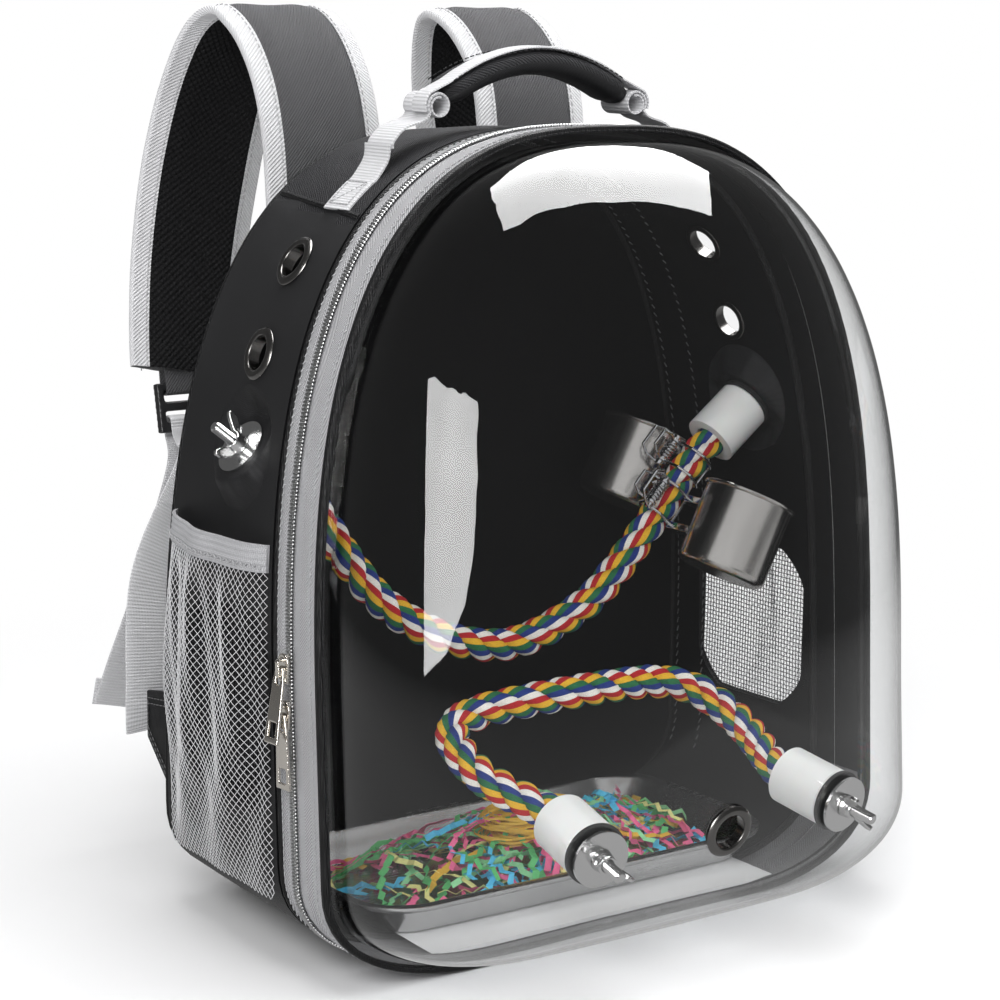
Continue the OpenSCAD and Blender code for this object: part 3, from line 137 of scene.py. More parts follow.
def half_outline(inset, fine=1.0):
    bottom, corner, side, arch = (int(n * fine) for n in (8, 22, 12, 64))
    points = [((HALF_W - CORNER_W) * (i + 0.5) / bottom, inset) for i in range(bottom)]
    for i in range(corner + 1):
        angle = math.pi / 2 * (i / corner - 1)
        x, z = oval(CORNER_W - inset, CORNER_H - inset, CORNER_POWER, angle)
        points.append((HALF_W - CORNER_W + x, CORNER_H + z))
    for i in range(1, side):
        points.append((HALF_W - inset, mix(CORNER_H, SHOULDER_Z, i / side)))
    for i in range(arch + 1):
        x, z = oval(HALF_W - inset, BODY_H - inset - SHOULDER_Z, ARCH_POWER, math.pi / 2 * i / arch)
        points.append((x, SHOULDER_Z + z))
    return points


def half_width(w, h, shoulder, z):
    if z <= shoulder:
        return w
    return w * max(0.0, 1 - ((z - shoulder) / (h - shoulder)) ** ARCH_POWER) ** (1 / ARCH_POWER)


def rear_half(inset, fine=1.0):
    w, h = HALF_W - REAR_NARROW - inset, BODY_H - REAR_DROP - inset
    points = []
    for x, z in half_outline(inset, fine):
        if z <= CORNER_H:
            points.append((x * (HALF_W - REAR_NARROW) / HALF_W, z))
            continue
        if z > SHOULDER_Z:
            z = mix(SHOULDER_Z, h, (z - SHOULDER_Z) / (BODY_H - inset - SHOULDER_Z))
        points.append((half_width(w, h, REAR_SHOULDER_Z, z), z))
    return points


def full(half):
    return np.array(half + [(-x, z) for x, z in half[-2::-1]])


def front_y(z):
    return z * math.tan(LEAN) - REAR_Y


def rim_pair(inset, fine=1.0):
    """Matching points of the front rim and the rear seam."""
    f, r = full(half_outline(inset, fine)), full(rear_half(inset, fine))
    front = np.column_stack([f[:, 0], front_y(f[:, 1]), f[:, 1]])
    rear = np.column_stack([r[:, 0], np.full(len(r), REAR_Y), r[:, 1]])
    return front, rear


def ring(behind, inset, fine=1.0):
    front, rear = rim_pair(inset, fine)
    return mix(front, rear, (behind / (rear[:, 1] - front[:, 1]))[:, None])


def rear_ring(ahead, inset, fine=1.0):
    front, rear = rim_pair(inset, fine)
    return mix(rear, front, (ahead / (rear[:, 1] - front[:, 1]))[:, None])


def side_x(y, z):
    """Distance of the side's outer surface from the centre plane."""
    rear = half_width(HALF_W - REAR_NARROW, BODY_H - REAR_DROP, REAR_SHOULDER_Z, z)
    share = (y - front_y(z)) / (REAR_Y - front_y(z))
    return mix(half_width(HALF_W, BODY_H, SHOULDER_Z, z), rear, share)


def side_normal(y, z):
    return unit([2, side_x(y - 1, z) - side_x(y + 1, z), side_x(y, z - 1) - side_x(y, z + 1)])


def on_side(side, y, z):
    """Point of one side's outer surface, and the direction out of it."""
    n = side_normal(y, z)
    return (side * side_x(y, z), y, z), (side * n[0], n[1], n[2])


def side_z(x, y):
    """Height at which the side reaches a distance from the centre plane."""
    low, high = SHOULDER_Z, BODY_H - REAR_DROP
    for _ in range(20):
        middle = (low + high) / 2
        low, high = (middle, high) if side_x(y, middle) > x else (low, middle)
    return low


def before_rim(x, z, d):
    return np.array([x, front_y(z) - d * math.cos(LEAN), z + d * math.sin(LEAN)])


def dome_power(x, dz):
    c = dz / max(math.hypot(x, dz), 0.001)
    return mix(SIDE_POWER, TOP_POWER if c > 0 else BOTTOM_POWER, c * c)


def in_foot(x, z):
    """Is a point of the rim's plane inside the foot of the dome."""
    x = abs(x)
    w, h = HALF_W - DOME_FOOT, BODY_H - DOME_FOOT
    if z > SHOULDER_Z:
        return (x / w) ** ARCH_POWER + ((z - SHOULDER_Z) / (h - SHOULDER_Z)) ** ARCH_POWER < 1
    if z > CORNER_H or x < HALF_W - CORNER_W:
        return x < w and z > DOME_FOOT
    across = (x - HALF_W + CORNER_W) / (CORNER_W - DOME_FOOT)
    down = (CORNER_H - z) / (CORNER_H - DOME_FOOT)
    return across ** CORNER_POWER + down ** CORNER_POWER < 1


def dome_share(x, z):
    """Share of the way from the dome's centre to its foot at a point, found by halving."""
    low, high = 0.01, 1
    for _ in range(14):
        s = (low + high) / 2
        inside = in_foot(x / s, DOME_CENTRE_Z + (z - DOME_CENTRE_Z) / s)
        low, high = (low, s) if inside else (s, high)
    return high


def dome_point(x, z):
    m = dome_power(x, z - DOME_CENTRE_Z)
    return before_rim(x, z, DOME_DEPTH * (1 - dome_share(x, z) ** m) ** (1 / m))


def dome_place(x):
    """Point of the dome at the height of its bolts, and the direction out of it."""
    z, reach = LOWER_PERCH_Z, 6
    up = dome_point(x, z + reach) - dome_point(x, z - reach)
    along = dome_point(x + reach, z) - dome_point(x - reach, z)
    return dome_point(x, z), -unit(np.cross(up, along))


def dome_ring(foot, inset, depth, degrees):
    angle = math.radians(degrees)
    points = []
    for x, z in foot:
        dz = z - DOME_CENTRE_Z
        m = dome_power(x, dz)
        s = math.cos(angle) ** (2 / m) * (1 - inset / math.hypot(x, dz))
        points.append(before_rim(x * s, DOME_CENTRE_Z + dz * s, depth * math.sin(angle) ** (2 / m)))
    return np.array(points)


def facing(point, n):
    """Matrix that takes +Z to a direction at a point."""
    n = unit(n)
    turn = Matrix.Rotation(math.atan2(n[1], n[0]), 4, "Z") @ Matrix.Rotation(math.acos(n[2]), 4, "Y")
    return Matrix.Translation(Vector(point) * MM) @ turn


def smooth(points, steps):
    """Points of a smooth curve through given points."""
    p = [np.array(q, float) for q in points]
    out = []
    for i in range(len(p) - 1):
        a, b, c, d = p[max(i - 1, 0)], p[i], p[i + 1], p[min(i + 2, len(p) - 1)]
        for k in range(steps):
            t = k / steps
            out.append(0.5 * (2 * b + (c - a) * t + (2 * a - 5 * b + 4 * c - d) * t * t
                              + (3 * b - a - 3 * c + d) * t ** 3))
    return np.array(out + [p[-1]])


def at_stops(stops, along, points):
    return np.column_stack([np.interp(stops, along, points[:, k]) for k in range(3)])


def even(path, step):
    """The same path with its points at even distances."""
    gaps = np.linalg.norm(np.diff(path, axis=0), axis=1)
    along = np.concatenate([[0], np.cumsum(gaps)])
    return at_stops(np.linspace(0, along[-1], max(2, int(round(along[-1] / step)) + 1)), along, path)


def ripple(p, scale, seed=0.0):
    """Smooth made-up unevenness from -1 to 1 at points in millimetres."""
    x, y, z = p[..., 0] / scale, p[..., 1] / scale, p[..., 2] / scale
    value = np.sin(1.7 * x + 0.9 * z + seed) * np.cos(1.3 * y - 1.1 * z + 2 * seed)
    value = value + 0.6 * np.sin(2.9 * z - 1.6 * y + 3 * seed) * np.cos(2.3 * x + 1.2 * y)
    return value / 1.6


# ---- Mesh makers ---------------------------------------------------------------------------------

def settle(obj, body, materials, stands_for=(), sharp=40, closed=True):
    """Shading, finish and body of a new piece."""
    mesh = obj.data
    if closed:
        bm = bmesh.new()
        bm.from_mesh(mesh)
        bmesh.ops.recalc_face_normals(bm, faces=bm.faces)
        bm.to_mesh(mesh)
        bm.free()
    mesh.shade_smooth()
    if sharp < 180:
        mesh.set_sharp_from_angle(angle=math.radians(sharp))
    for m in materials if isinstance(materials, (list, tuple)) else [materials]:
        mesh.materials.append(m)
    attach(obj, body)
    if stands_for:
        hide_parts(*stands_for)
    return obj


def new_object(name, verts, faces, uvs=None, indices=None, metres=False):
    mesh = bpy.data.meshes.new(name)
    mesh.from_pydata(np.asarray(verts, float) * (1 if metres else MM), [], faces)
    if uvs is not None:
        layer = mesh.uv_layers.new(name="flat")
        layer.data.foreach_set("uv", (np.asarray(uvs, float) * MM).ravel())
    if indices is not None:
        mesh.polygons.foreach_set("material_index", indices)
    return placed(name, mesh)


def lay_flat(mesh, layer):
    """Texture coordinates straight from the frame's X and Z."""
    for loop in mesh.loops:
        co = mesh.vertices[loop.vertex_index].co
        layer.data[loop.index].uv = (co.x, co.z)


def distances(points, closed):
    around = looped(points) if closed else points
    return np.concatenate([[0], np.cumsum(np.linalg.norm(np.diff(around, axis=0), axis=1))])


def grid(name, rows, around=False, along=False, caps=False, paint=None, v=None):
    """Surface through rows of points, with texture coordinates in real lengths."""
    rows = np.asarray(rows, float)
    m, n = rows.shape[:2]
    u = distances(rows[m // 2], around)
    v = distances(rows[:, n // 3], along) if v is None else v
    faces, uvs, indices = [], [], []
    for j in range(m if along else m - 1):
        k = (j + 1) % m
        for i in range(n if around else n - 1):
            h = (i + 1) % n
            faces.append((j * n + i, j * n + h, k * n + h, k * n + i))
            uvs += [(u[i], v[j]), (u[i + 1], v[j]), (u[i + 1], v[j + 1]), (u[i], v[j + 1])]
            indices.append(paint(i, j) if paint else 0)
    if caps:
        for row, order in ((0, range(n - 1, -1, -1)), (m - 1, range(n))):
            faces.append([row * n + i for i in order])
            uvs += [(u[i], v[row]) for i in order]
            indices.append(0)
    return new_object(name, rows.reshape(-1, 3), faces, uvs, indices)


def tangents(path):
    ends = np.vstack([path[:1], path, path[-1:]])
    t = ends[2:] - ends[:-2]
    return t / np.linalg.norm(t, axis=1)[:, None]


def carried(path, start):
    """Tangents and normals of a path, each normal turned as little as it can be."""
    t = tangents(path)
    n = np.zeros_like(t)
    last = unit(np.array(start, float) - np.dot(start, t[0]) * t[0])
    for i in range(len(t)):
        last = unit(last - np.dot(last, t[i]) * t[i])
        n[i] = last
    return t, n


def sweep(name, path, section, start, caps=True, **more):
    """Section points are [along the normal, across it]."""
    path = np.asarray(path, float)
    t, n = carried(path, start)
    b = np.cross(n, t)
    section = np.asarray(section, float)
    rows = [path[i] + section[:, :1] * n[i] + section[:, 1:] * b[i] for i in range(len(path))]
    return grid(name, rows, around=True, caps=caps, **more)


def circle(r, sides):
    return [(r * math.cos(2 * math.pi * i / sides), r * math.sin(2 * math.pi * i / sides))
            for i in range(sides)]


def flat_tape(t, w, steps=6):
    """Flat section with rounded edges, thickness along the normal."""
    out = [(t / 2, mix(-w / 2 + t, w / 2 - t, i / steps)) for i in range(steps + 1)]
    out += [(t / 4, w / 2 - t / 4), (-t / 4, w / 2 - t / 4)]
    out += [(-t / 2, mix(w / 2 - t, -w / 2 + t, i / steps)) for i in range(steps + 1)]
    return out + [(-t / 4, -w / 2 + t / 4), (t / 4, -w / 2 + t / 4)]


def join(name, objects):
    """One object from several, their texture coordinates and material numbers kept."""
    bm = bmesh.new()
    for o in objects:
        bm.from_mesh(o.data)
    mesh = bpy.data.meshes.new(name)
    bm.to_mesh(mesh)
    bm.free()
    for o in objects:
        bpy.data.objects.remove(o)
    return placed(name, mesh)


def modify(obj, kind, **values):
    m = obj.modifiers.new(kind.lower(), kind)
    for key, value in values.items():
        setattr(m, key, value)
    return m


def baked(obj):
    """Applies every modifier."""
    graph = bpy.context.evaluated_depsgraph_get()
    mesh = bpy.data.meshes.new_from_object(obj.evaluated_get(graph), preserve_all_data_layers=True,
                                           depsgraph=graph)
    obj.modifiers.clear()
    old = obj.data
    obj.data = mesh
    bpy.data.meshes.remove(old)
    return obj


def cut(obj, cutters):
    for c in cutters:
        modify(obj, "BOOLEAN", operation="DIFFERENCE", solver="EXACT", object=c)
    baked(obj)
    for c in cutters:
        bpy.data.objects.remove(c)
    return obj


def prism(name, outline, low, high, matrix):
    """Closed prism of a flat outline along Z, placed by a matrix."""
    n = len(outline)
    verts = [(x, y, low) for x, y in outline] + [(x, y, high) for x, y in outline]
    faces = [tuple(range(n - 1, -1, -1)), tuple(range(n, 2 * n))]
    faces += [(i, (i + 1) % n, n + (i + 1) % n, n + i) for i in range(n)]
    obj = new_object(name, verts, faces)
    obj.data.transform(matrix)
    return obj


def copies(name, template, faces, places):
    """Many copies of a small closed form. Each place is a 3x3 of axes and a point, in mm."""
    template = np.asarray(template, float)
    verts, polys = [], []
    for axes, point in places:
        start = len(verts) * len(template)
        verts.append(template @ np.asarray(axes, float) + point)
        polys += [tuple(start + i for i in f) for f in faces]
    return new_object(name, np.vstack(verts), polys)


def capsule_form(length, radius, sides=6):
    """Points and faces of a small rounded rod along X."""
    rows = [(-length / 2, 0.35), (-length / 2 + radius * 0.6, 1), (length / 2 - radius * 0.6, 1),
            (length / 2, 0.35)]
    points = [(x, radius * s * math.cos(a), radius * s * math.sin(a))
              for x, s in rows for a in [2 * math.pi * i / sides for i in range(sides)]]
    faces = [(j * sides + i, j * sides + (i + 1) % sides, (j + 1) * sides + (i + 1) % sides,
              (j + 1) * sides + i) for j in range(3) for i in range(sides)]
    faces += [tuple(range(sides - 1, -1, -1)), tuple(range(3 * sides, 4 * sides))]
    return points, faces


def stitches(name, path, out, body, material, pitch=3.4, length=2.4, radius=0.32, zigzag=0.0):
    """A row of sewn stitches along a path. out gives the surface's normals at its points."""
    path, out = np.asarray(path, float), np.asarray(out, float)
    if out.ndim == 1:
        out = np.tile(out, (len(path), 1))
    gaps = distances(path, False)
    stops = np.arange(pitch / 2, gaps[-1], pitch)
    at = at_stops(stops, gaps, path)
    up = at_stops(stops, gaps, out)
    ahead = at_stops(stops + 0.4, gaps, path) - at
    points, faces = capsule_form(length, radius)
    places = []
    for i in range(len(at)):
        if np.linalg.norm(ahead[i]) < 1e-6:
            continue
        z = unit(up[i])
        x = unit(ahead[i] - np.dot(ahead[i], z) * z)
        y = np.cross(z, x)
        x = unit(x + zigzag * y * (1 if i % 2 else -1))
        places.append(((x, np.cross(z, x), z), at[i] + 0.15 * z))
    return settle(copies(name, points, faces, places), body, material, sharp=180, closed=False)


def soften(node, body, material, voxel, rounds):
    """A rigid CAD node again with its edges slightly rounded, as cast, stamped or moulded."""
    mesh = frame["nodes"][node].data.copy()
    obj = placed(node + "_round", mesh)
    mesh.materials.clear()
    modify(obj, "WELD", merge_threshold=1e-6)
    modify(obj, "REMESH", mode="VOXEL", voxel_size=voxel * MM)
    modify(obj, "SMOOTH", factor=0.5, iterations=rounds)
    baked(obj)
    return settle(obj, body, material, [node], sharp=180, closed=False)


# ---- Materials -----------------------------------------------------------------------------------

class Shader:
    """Small helper for building a material's nodes."""

    def __init__(self, name, colour, roughness, metallic=0.0, specular=0.5):
        self.material = bpy.data.materials.new(name)
        self.material.use_nodes = True
        self.tree = self.material.node_tree
        self.surface = self.tree.nodes["Principled BSDF"]
        self.colour = (*colour, 1)
        self.put(self.surface, "Base Color", self.colour)
        self.put(self.surface, "Roughness", roughness)
        self.put(self.surface, "Metallic", metallic)
        self.put(self.surface, "Specular IOR Level", specular)

    def put(self, node, socket, value):
        if isinstance(value, bpy.types.NodeSocket):
            self.tree.links.new(value, node.inputs[socket])
        else:
            node.inputs[socket].default_value = value

    def node(self, kind, **inputs):
        n = self.tree.nodes.new("ShaderNode" + kind)
        for key, value in inputs.items():
            self.put(n, key.replace("_", " "), value)
        return n

    def math(self, operation, a, b=0.0):
        n = self.tree.nodes.new("ShaderNodeMath")
        n.operation = operation
        self.put(n, 0, a)
        self.put(n, 1, b)
        return n.outputs[0]

    def where(self, flat):
        """Coordinates in metres: the piece's own flat pattern, or its place in the frame."""
        return self.node("TexCoord").outputs["UV" if flat else "Object"]

    def noise(self, coordinates, scale, detail=2.0, stretch=None):
        if stretch:
            coordinates = self.node("Mapping", Vector=coordinates, Scale=stretch).outputs[0]
        n = self.node("TexNoise", Vector=coordinates, Scale=scale, Detail=detail)
        return n.outputs[0]

    def stripes(self, coordinates, period, turn=0.0):
        """Sine stripes square to the turned X axis, from 0 to 1, with a period in metres."""
        apart = self.node("SeparateXYZ", Vector=coordinates)
        k = 2 * math.pi / period
        x = self.math("MULTIPLY", apart.outputs[0], k * math.cos(turn))
        y = self.math("MULTIPLY", apart.outputs[1], k * math.sin(turn))
        wave = self.math("SINE", self.math("ADD", x, y))
        return self.math("MULTIPLY", self.math("ADD", wave, 1.0), 0.5)

    def tint(self, factor, dark, light):
        """Base colour from the written colour times dark to light, by a factor."""
        n = self.node("MapRange", Value=factor, To_Min=dark, To_Max=light)
        shade = self.tree.nodes.new("ShaderNodeMix")
        shade.data_type = "RGBA"
        shade.inputs[6].default_value = (0, 0, 0, 1)
        shade.inputs[7].default_value = self.colour
        shade.clamp_factor = False
        self.put(shade, 0, n.outputs[0])
        self.put(self.surface, "Base Color", shade.outputs[2])

    def bump(self, height, distance, strength=1.0):
        n = self.node("Bump", Height=height, Distance=distance, Strength=strength)
        self.put(self.surface, "Normal", n.outputs[0])

    def rough(self, factor, low, high):
        n = self.node("MapRange", Value=factor, To_Min=low, To_Max=high)
        self.put(self.surface, "Roughness", n.outputs[0])


def fabric(name, colour, rough, period=0.0011, turn=0.8, twill=False, flat=True, depth=0.00025,
           contrast=0.35, specular=0.25):
    """Woven cloth, plain or twill, with its pattern on the flat piece or in the frame."""
    s = Shader(name, colour, rough, specular=specular)
    at = s.where(flat)
    if twill:
        pattern = s.stripes(at, period, turn)
        fine = s.stripes(at, period * 0.37, turn - math.pi / 2)
        pattern = s.math("ADD", s.math("MULTIPLY", pattern, 0.75), s.math("MULTIPLY", fine, 0.25))
    else:
        warp = s.stripes(at, period, 0.0)
        weft = s.stripes(at, period, math.pi / 2)
        pattern = s.math("MAXIMUM", s.math("MULTIPLY", warp, s.math("SUBTRACT", 1.0, weft)),
                         s.math("MULTIPLY", weft, s.math("SUBTRACT", 1.0, warp)))
    cloudy = s.noise(s.where(False), 38.0, 3.0)
    shade = s.math("ADD", s.math("MULTIPLY", pattern, contrast), s.math("MULTIPLY", cloudy, 0.35))
    s.tint(shade, 0.8, 1.28)
    s.bump(pattern, depth)
    return s.material


def herringbone(name, colour, band=0.0062, period=0.0016):
    s = Shader(name, colour, 0.75, specular=0.25)
    apart = s.node("SeparateXYZ", Vector=s.where(True))
    across = s.math("PINGPONG", apart.outputs[1], band)
    k = 2 * math.pi / period
    wave = s.math("ADD", s.math("MULTIPLY", apart.outputs[0], k), s.math("MULTIPLY", across, k))
    wave = s.math("SINE", wave)
    pattern = s.math("MULTIPLY", s.math("ADD", wave, 1.0), 0.5)
    cloudy = s.noise(s.where(False), 60.0, 2.0)
    s.tint(s.math("ADD", s.math("MULTIPLY", pattern, 0.7), s.math("MULTIPLY", cloudy, 0.3)), 0.55, 1.3)
    s.bump(pattern, 0.0006)
    return s.material


def webbing(name, colour, period=0.0016, rough=0.7):
    """Ribs across the strap and fine lines along it."""
    s = Shader(name, colour, rough, specular=0.3)
    at = s.where(True)
    ribs = s.stripes(at, period, math.pi / 2)
    lines = s.stripes(at, 0.0009, 0.0)
    pattern = s.math("ADD", s.math("MULTIPLY", ribs, 0.7), s.math("MULTIPLY", lines, 0.3))
    cloudy = s.noise(s.where(False), 50.0, 2.0)
    s.tint(s.math("ADD", s.math("MULTIPLY", pattern, 0.5), s.math("MULTIPLY", cloudy, 0.35)), 0.8, 1.18)
    s.bump(pattern, 0.00035)
    return s.material


def metal(name, colour, rough, spread=0.1, stretch=None, scale=900.0):
    s = Shader(name, colour, rough, metallic=1.0)
    grain = s.noise(s.where(False), scale, 3.0, stretch)
    smudge = s.noise(s.where(False), 25.0, 1.0)
    s.rough(s.math("MULTIPLY", s.math("ADD", grain, smudge), 0.5), max(rough - spread, 0.03), rough + spread)
    s.tint(smudge, 0.95, 1.04)
    return s.material


def plastic(name, colour, rough, depth=0.00002, specular=0.5, subsurface=0.0):
    s = Shader(name, colour, rough, specular=specular)
    grain = s.noise(s.where(False), 1400.0, 2.0)
    smudge = s.noise(s.where(False), 60.0, 3.0)
    s.rough(smudge, rough - 0.07, rough + 0.07)
    s.tint(smudge, 0.95, 1.05)
    s.bump(grain, depth)
    if subsurface:
        s.put(s.surface, "Subsurface Weight", subsurface)
        s.put(s.surface, "Subsurface Scale", 0.002)
    return s.material


def yarn(name, colour):
    s = Shader(name, colour, 0.85, specular=0.2)
    fibre = s.noise(s.where(False), 1500.0, 3.0)
    s.tint(fibre, 0.72, 1.25)
    s.bump(fibre, 0.0004)
    return s.material


def paper(name, colour):
    s = Shader(name, colour, 0.65, specular=0.35)
    s.tint(s.noise(s.where(False), 420.0, 2.0), 0.86, 1.12)
    return s.material


def clear_sheet(name):
    """Clear sheet that lets light through without a dark shadow."""
    s = Shader(name, (0.985, 0.99, 0.992), 0.015, specular=0.5)
    s.put(s.surface, "Transmission Weight", 1.0)
    s.put(s.surface, "IOR", 1.49)
    s.tint(s.noise(s.where(False), 12.0, 2.0), 0.985, 1.0)
    out = s.tree.nodes["Material Output"]
    through = s.node("BsdfTransparent", Color=(0.93, 0.935, 0.94, 1))
    path = s.node("LightPath")
    choice = s.tree.nodes.new("ShaderNodeMixShader")
    s.put(choice, 0, path.outputs["Is Shadow Ray"])
    s.put(choice, 1, s.surface.outputs[0])
    s.put(choice, 2, through.outputs[0])
    s.put(out, "Surface", choice.outputs[0])
    return s.material


BLACK = fabric("black_oxford", (0.012, 0.012, 0.013), 0.5, period=0.0009, depth=0.00012, specular=0.3)
TOP_TWILL = fabric("dark_twill", (0.016, 0.016, 0.0175), 0.7, period=0.0014, turn=0.75, twill=True,
                   depth=0.0004, specular=0.14)
TWILL = fabric("charcoal_twill", (0.060, 0.060, 0.063), 0.8, period=0.0013, turn=0.72, twill=True,
               depth=0.0004, contrast=0.75)
LINING = fabric("black_lining", (0.0040, 0.0040, 0.0045), 0.5, period=0.0008, depth=0.00012, specular=0.06)
BINDING = fabric("black_binding", (0.007, 0.007, 0.0075), 0.45, period=0.0013, depth=0.0003, flat=False,
                 specular=0.2)
AIR_MESH = fabric("black_air_mesh", (0.0075, 0.0075, 0.008), 0.9, period=0.0038, depth=0.0014, contrast=1.0,
                  specular=0.1)
TAPE = herringbone("grey_herringbone", (0.46, 0.46, 0.475))
# Painted shade: a darker copy of the grey herringbone, for the zip tape's underside low in the body, where
# shade falls.
TAPE_PAINTED_SHADE = herringbone("herringbone_painted_shade", (0.17, 0.17, 0.175))
STRAP_EDGE = fabric("grey_edge_binding", (0.66, 0.66, 0.675), 0.75, period=0.0016, turn=2.3, twill=True,
                    depth=0.0005, contrast=0.5)
WEBBING = webbing("grey_webbing", (0.60, 0.60, 0.615))
ELASTIC = webbing("grey_elastic", (0.42, 0.42, 0.435), period=0.0012)
NET = yarn("grey_net", (0.70, 0.70, 0.715))
DARK_NET = yarn("dark_net", (0.022, 0.022, 0.024))
THREAD = yarn("grey_thread", (0.42, 0.42, 0.43))
DARK_THREAD = yarn("dark_thread", (0.12, 0.12, 0.122))
BLACK_THREAD = yarn("black_thread", (0.016, 0.016, 0.017))
ZIP = metal("zip_metal", (0.50, 0.50, 0.50), 0.34)
NICKEL = metal("nickel", (0.74, 0.70, 0.64), 0.16, 0.05)
GUNMETAL = metal("gunmetal", (0.17, 0.165, 0.16), 0.24, 0.06)
ZINC = metal("zinc", (0.70, 0.70, 0.70), 0.2, 0.08)
CHROME = metal("chrome", (0.72, 0.72, 0.74), 0.1, 0.04)
CUP = metal("cup_steel", (0.62, 0.60, 0.58), 0.2, 0.05, stretch=(12, 12, 0.2), scale=260.0)
TRAY = metal("tray_steel", (0.60, 0.60, 0.60), 0.26, 0.06, stretch=(0.3, 8, 8), scale=300.0)
BOARD = plastic("white_board", (0.78, 0.78, 0.78), 0.4)
CAP = plastic("white_cap", (0.80, 0.80, 0.785), 0.38, subsurface=0.1)
RUBBER = plastic("black_rubber", (0.012, 0.012, 0.012), 0.62, depth=0.00006)
PLASTIC = plastic("black_plastic", (0.014, 0.014, 0.015), 0.36)
CLEAR = clear_sheet("clear_sheet")
ROPE_COLOURS = [yarn("cotton_" + n, c) for n, c in (
    ("white", (0.80, 0.78, 0.72)), ("red", (0.42, 0.015, 0.02)), ("yellow", (0.74, 0.42, 0.03)),
    ("green", (0.02, 0.14, 0.055)), ("navy", (0.015, 0.035, 0.19)))]
PAPERS = [paper("paper_" + n, c) for n, c in (
    ("pink", (0.95, 0.17, 0.36)), ("green", (0.13, 0.60, 0.20)), ("blue", (0.10, 0.60, 0.90)),
    ("pale", (0.95, 0.92, 0.36)), ("mustard", (0.85, 0.52, 0.05)), ("mint", (0.34, 0.82, 0.42)))]

# ---- Body ----------------------------------------------------------------------------------------

TOP_SEAM_FRONT, TOP_SEAM_REAR = 352, 360


def window_outline(grow=0.0, steps=72):
    """Rounded window shape about its middle, [back, up]."""
    points = []
    for i in range(steps):
        a = 2 * math.pi * i / steps
        c, s = math.cos(a), math.sin(a)
        straight = min(WINDOW_W / 2 / max(abs(c), 1e-6), WINDOW_H / 2 / max(abs(s), 1e-6))
        r = min(straight, 0.58 * WINDOW_W / math.hypot(c, s * WINDOW_W / WINDOW_H)) + grow
        points.append((r * c, r * s))
    return points


def through_side(side):
    turn = math.atan(REAR_NARROW / BODY_D)
    place = Matrix.Translation(Vector((side * side_x(WINDOW_Y, WINDOW_Z), WINDOW_Y, WINDOW_Z)) * MM)
    return place @ Matrix.Rotation(side * turn, 4, "Z") @ SIDE_BASIS


def body_wall():
    depth_steps = 26
    front, rear = ring(GUSSET_SET, 0), rear_ring(PANEL_SET, 0)
    shares = np.linspace(0, 1, depth_steps)
    outer = np.array([mix(front, rear, t) for t in shares])
    inner = np.array([mix(ring(GUSSET_SET, WALL), rear_ring(PANEL_SET, WALL), t) for t in shares])
    hold = np.sin(math.pi * shares)[:, None]
    push = ripple(outer, 26.0, 0.7) * 1.0 + ripple(outer, 11.0, 2.1) * 0.25
    out = unit_rows(outer - inner)
    shift = (push * hold)[..., None] * out
    rows = np.concatenate([outer + shift, (inner + shift)[::-1]])

    def paint(i, j):
        p = rows[j, i % rows.shape[1]]
        t = (p[1] + REAR_Y) / BODY_D
        if j >= depth_steps:
            return 2
        return 1 if p[2] > mix(TOP_SEAM_FRONT, TOP_SEAM_REAR, t) else 0

    wall = grid("body_wall", rows, around=True, along=True, paint=paint)
    cutters = []
    for side in (-1, 1):
        cutters.append(prism("c", window_outline(), -14, 14, through_side(side)))
        for z in (RING_LOW_Z, RING_HIGH_Z):
            cutters.append(prism("c", circle(RING_HOLE_R, 40), -12, 12, facing(*on_side(side, RING_Y, z))))
        place = Matrix.Translation(Vector((side * HALF_W, PERCH_Y, PERCH_Z)) * MM)
        place = place @ Matrix.Rotation(math.pi / 2, 4, "Y")
        cutters.append(prism("c", circle(PERCH_PATCH_R - 0.6, 64), -30, 30, place))
    return cut(wall, cutters)


def perch_frame(side):
    seat = np.array([side * side_x(PERCH_Y, PERCH_Z), PERCH_Y, PERCH_Z])
    out = np.array([side * math.cos(PERCH_TILT), 0, math.sin(PERCH_TILT)])
    up = np.array([-side * math.sin(PERCH_TILT), 0, math.cos(PERCH_TILT)])
    return seat, out, up


def perch_patch(side):
    """Wall pulled out of its plane by the tilted bolt, with creases that run out from it."""
    seat, out, up = perch_frame(side)
    steps, rings = 96, 16
    outer = []
    for k in range(rings + 1):
        t = k / rings
        r = mix(PERCH_PATCH_R, PERCH_SEAT_R, t)
        row = []
        for i in range(steps):
            a = 2 * math.pi * i / steps
            y, z = PERCH_Y + r * math.cos(a), PERCH_Z + r * math.sin(a)
            wall = np.array([side * side_x(y, z), y, z])
            lifted = seat + r * math.cos(a) * np.array([0, 1, 0]) + r * math.sin(a) * up
            crease = 0.8 * math.sin(math.pi * t) * math.sin(9 * a + 0.6 * math.sin(3 * a))
            row.append(mix(wall, lifted, ease(t)) + crease * out)
        outer.append(row)
    for r in (11, 3.4):
        outer.append([seat + r * math.cos(2 * math.pi * i / steps) * np.array([0, 1, 0])
                      + r * math.sin(2 * math.pi * i / steps) * up for i in range(steps)])
    outer = np.array(outer)
    inner = outer - np.linspace(0, 1, len(outer))[:, None, None] * WALL * out
    inner[:, :, 0] -= (1 - np.linspace(0, 1, len(outer)))[:, None] * side * WALL
    return grid("patch", np.concatenate([outer, inner[::-1]]), around=True, along=True)


wall_piece = join("body_wall", [body_wall(), perch_patch(-1), perch_patch(1)])
settle(wall_piece, "carrier", [BLACK, TOP_TWILL, LINING], ["gusset"], closed=False)

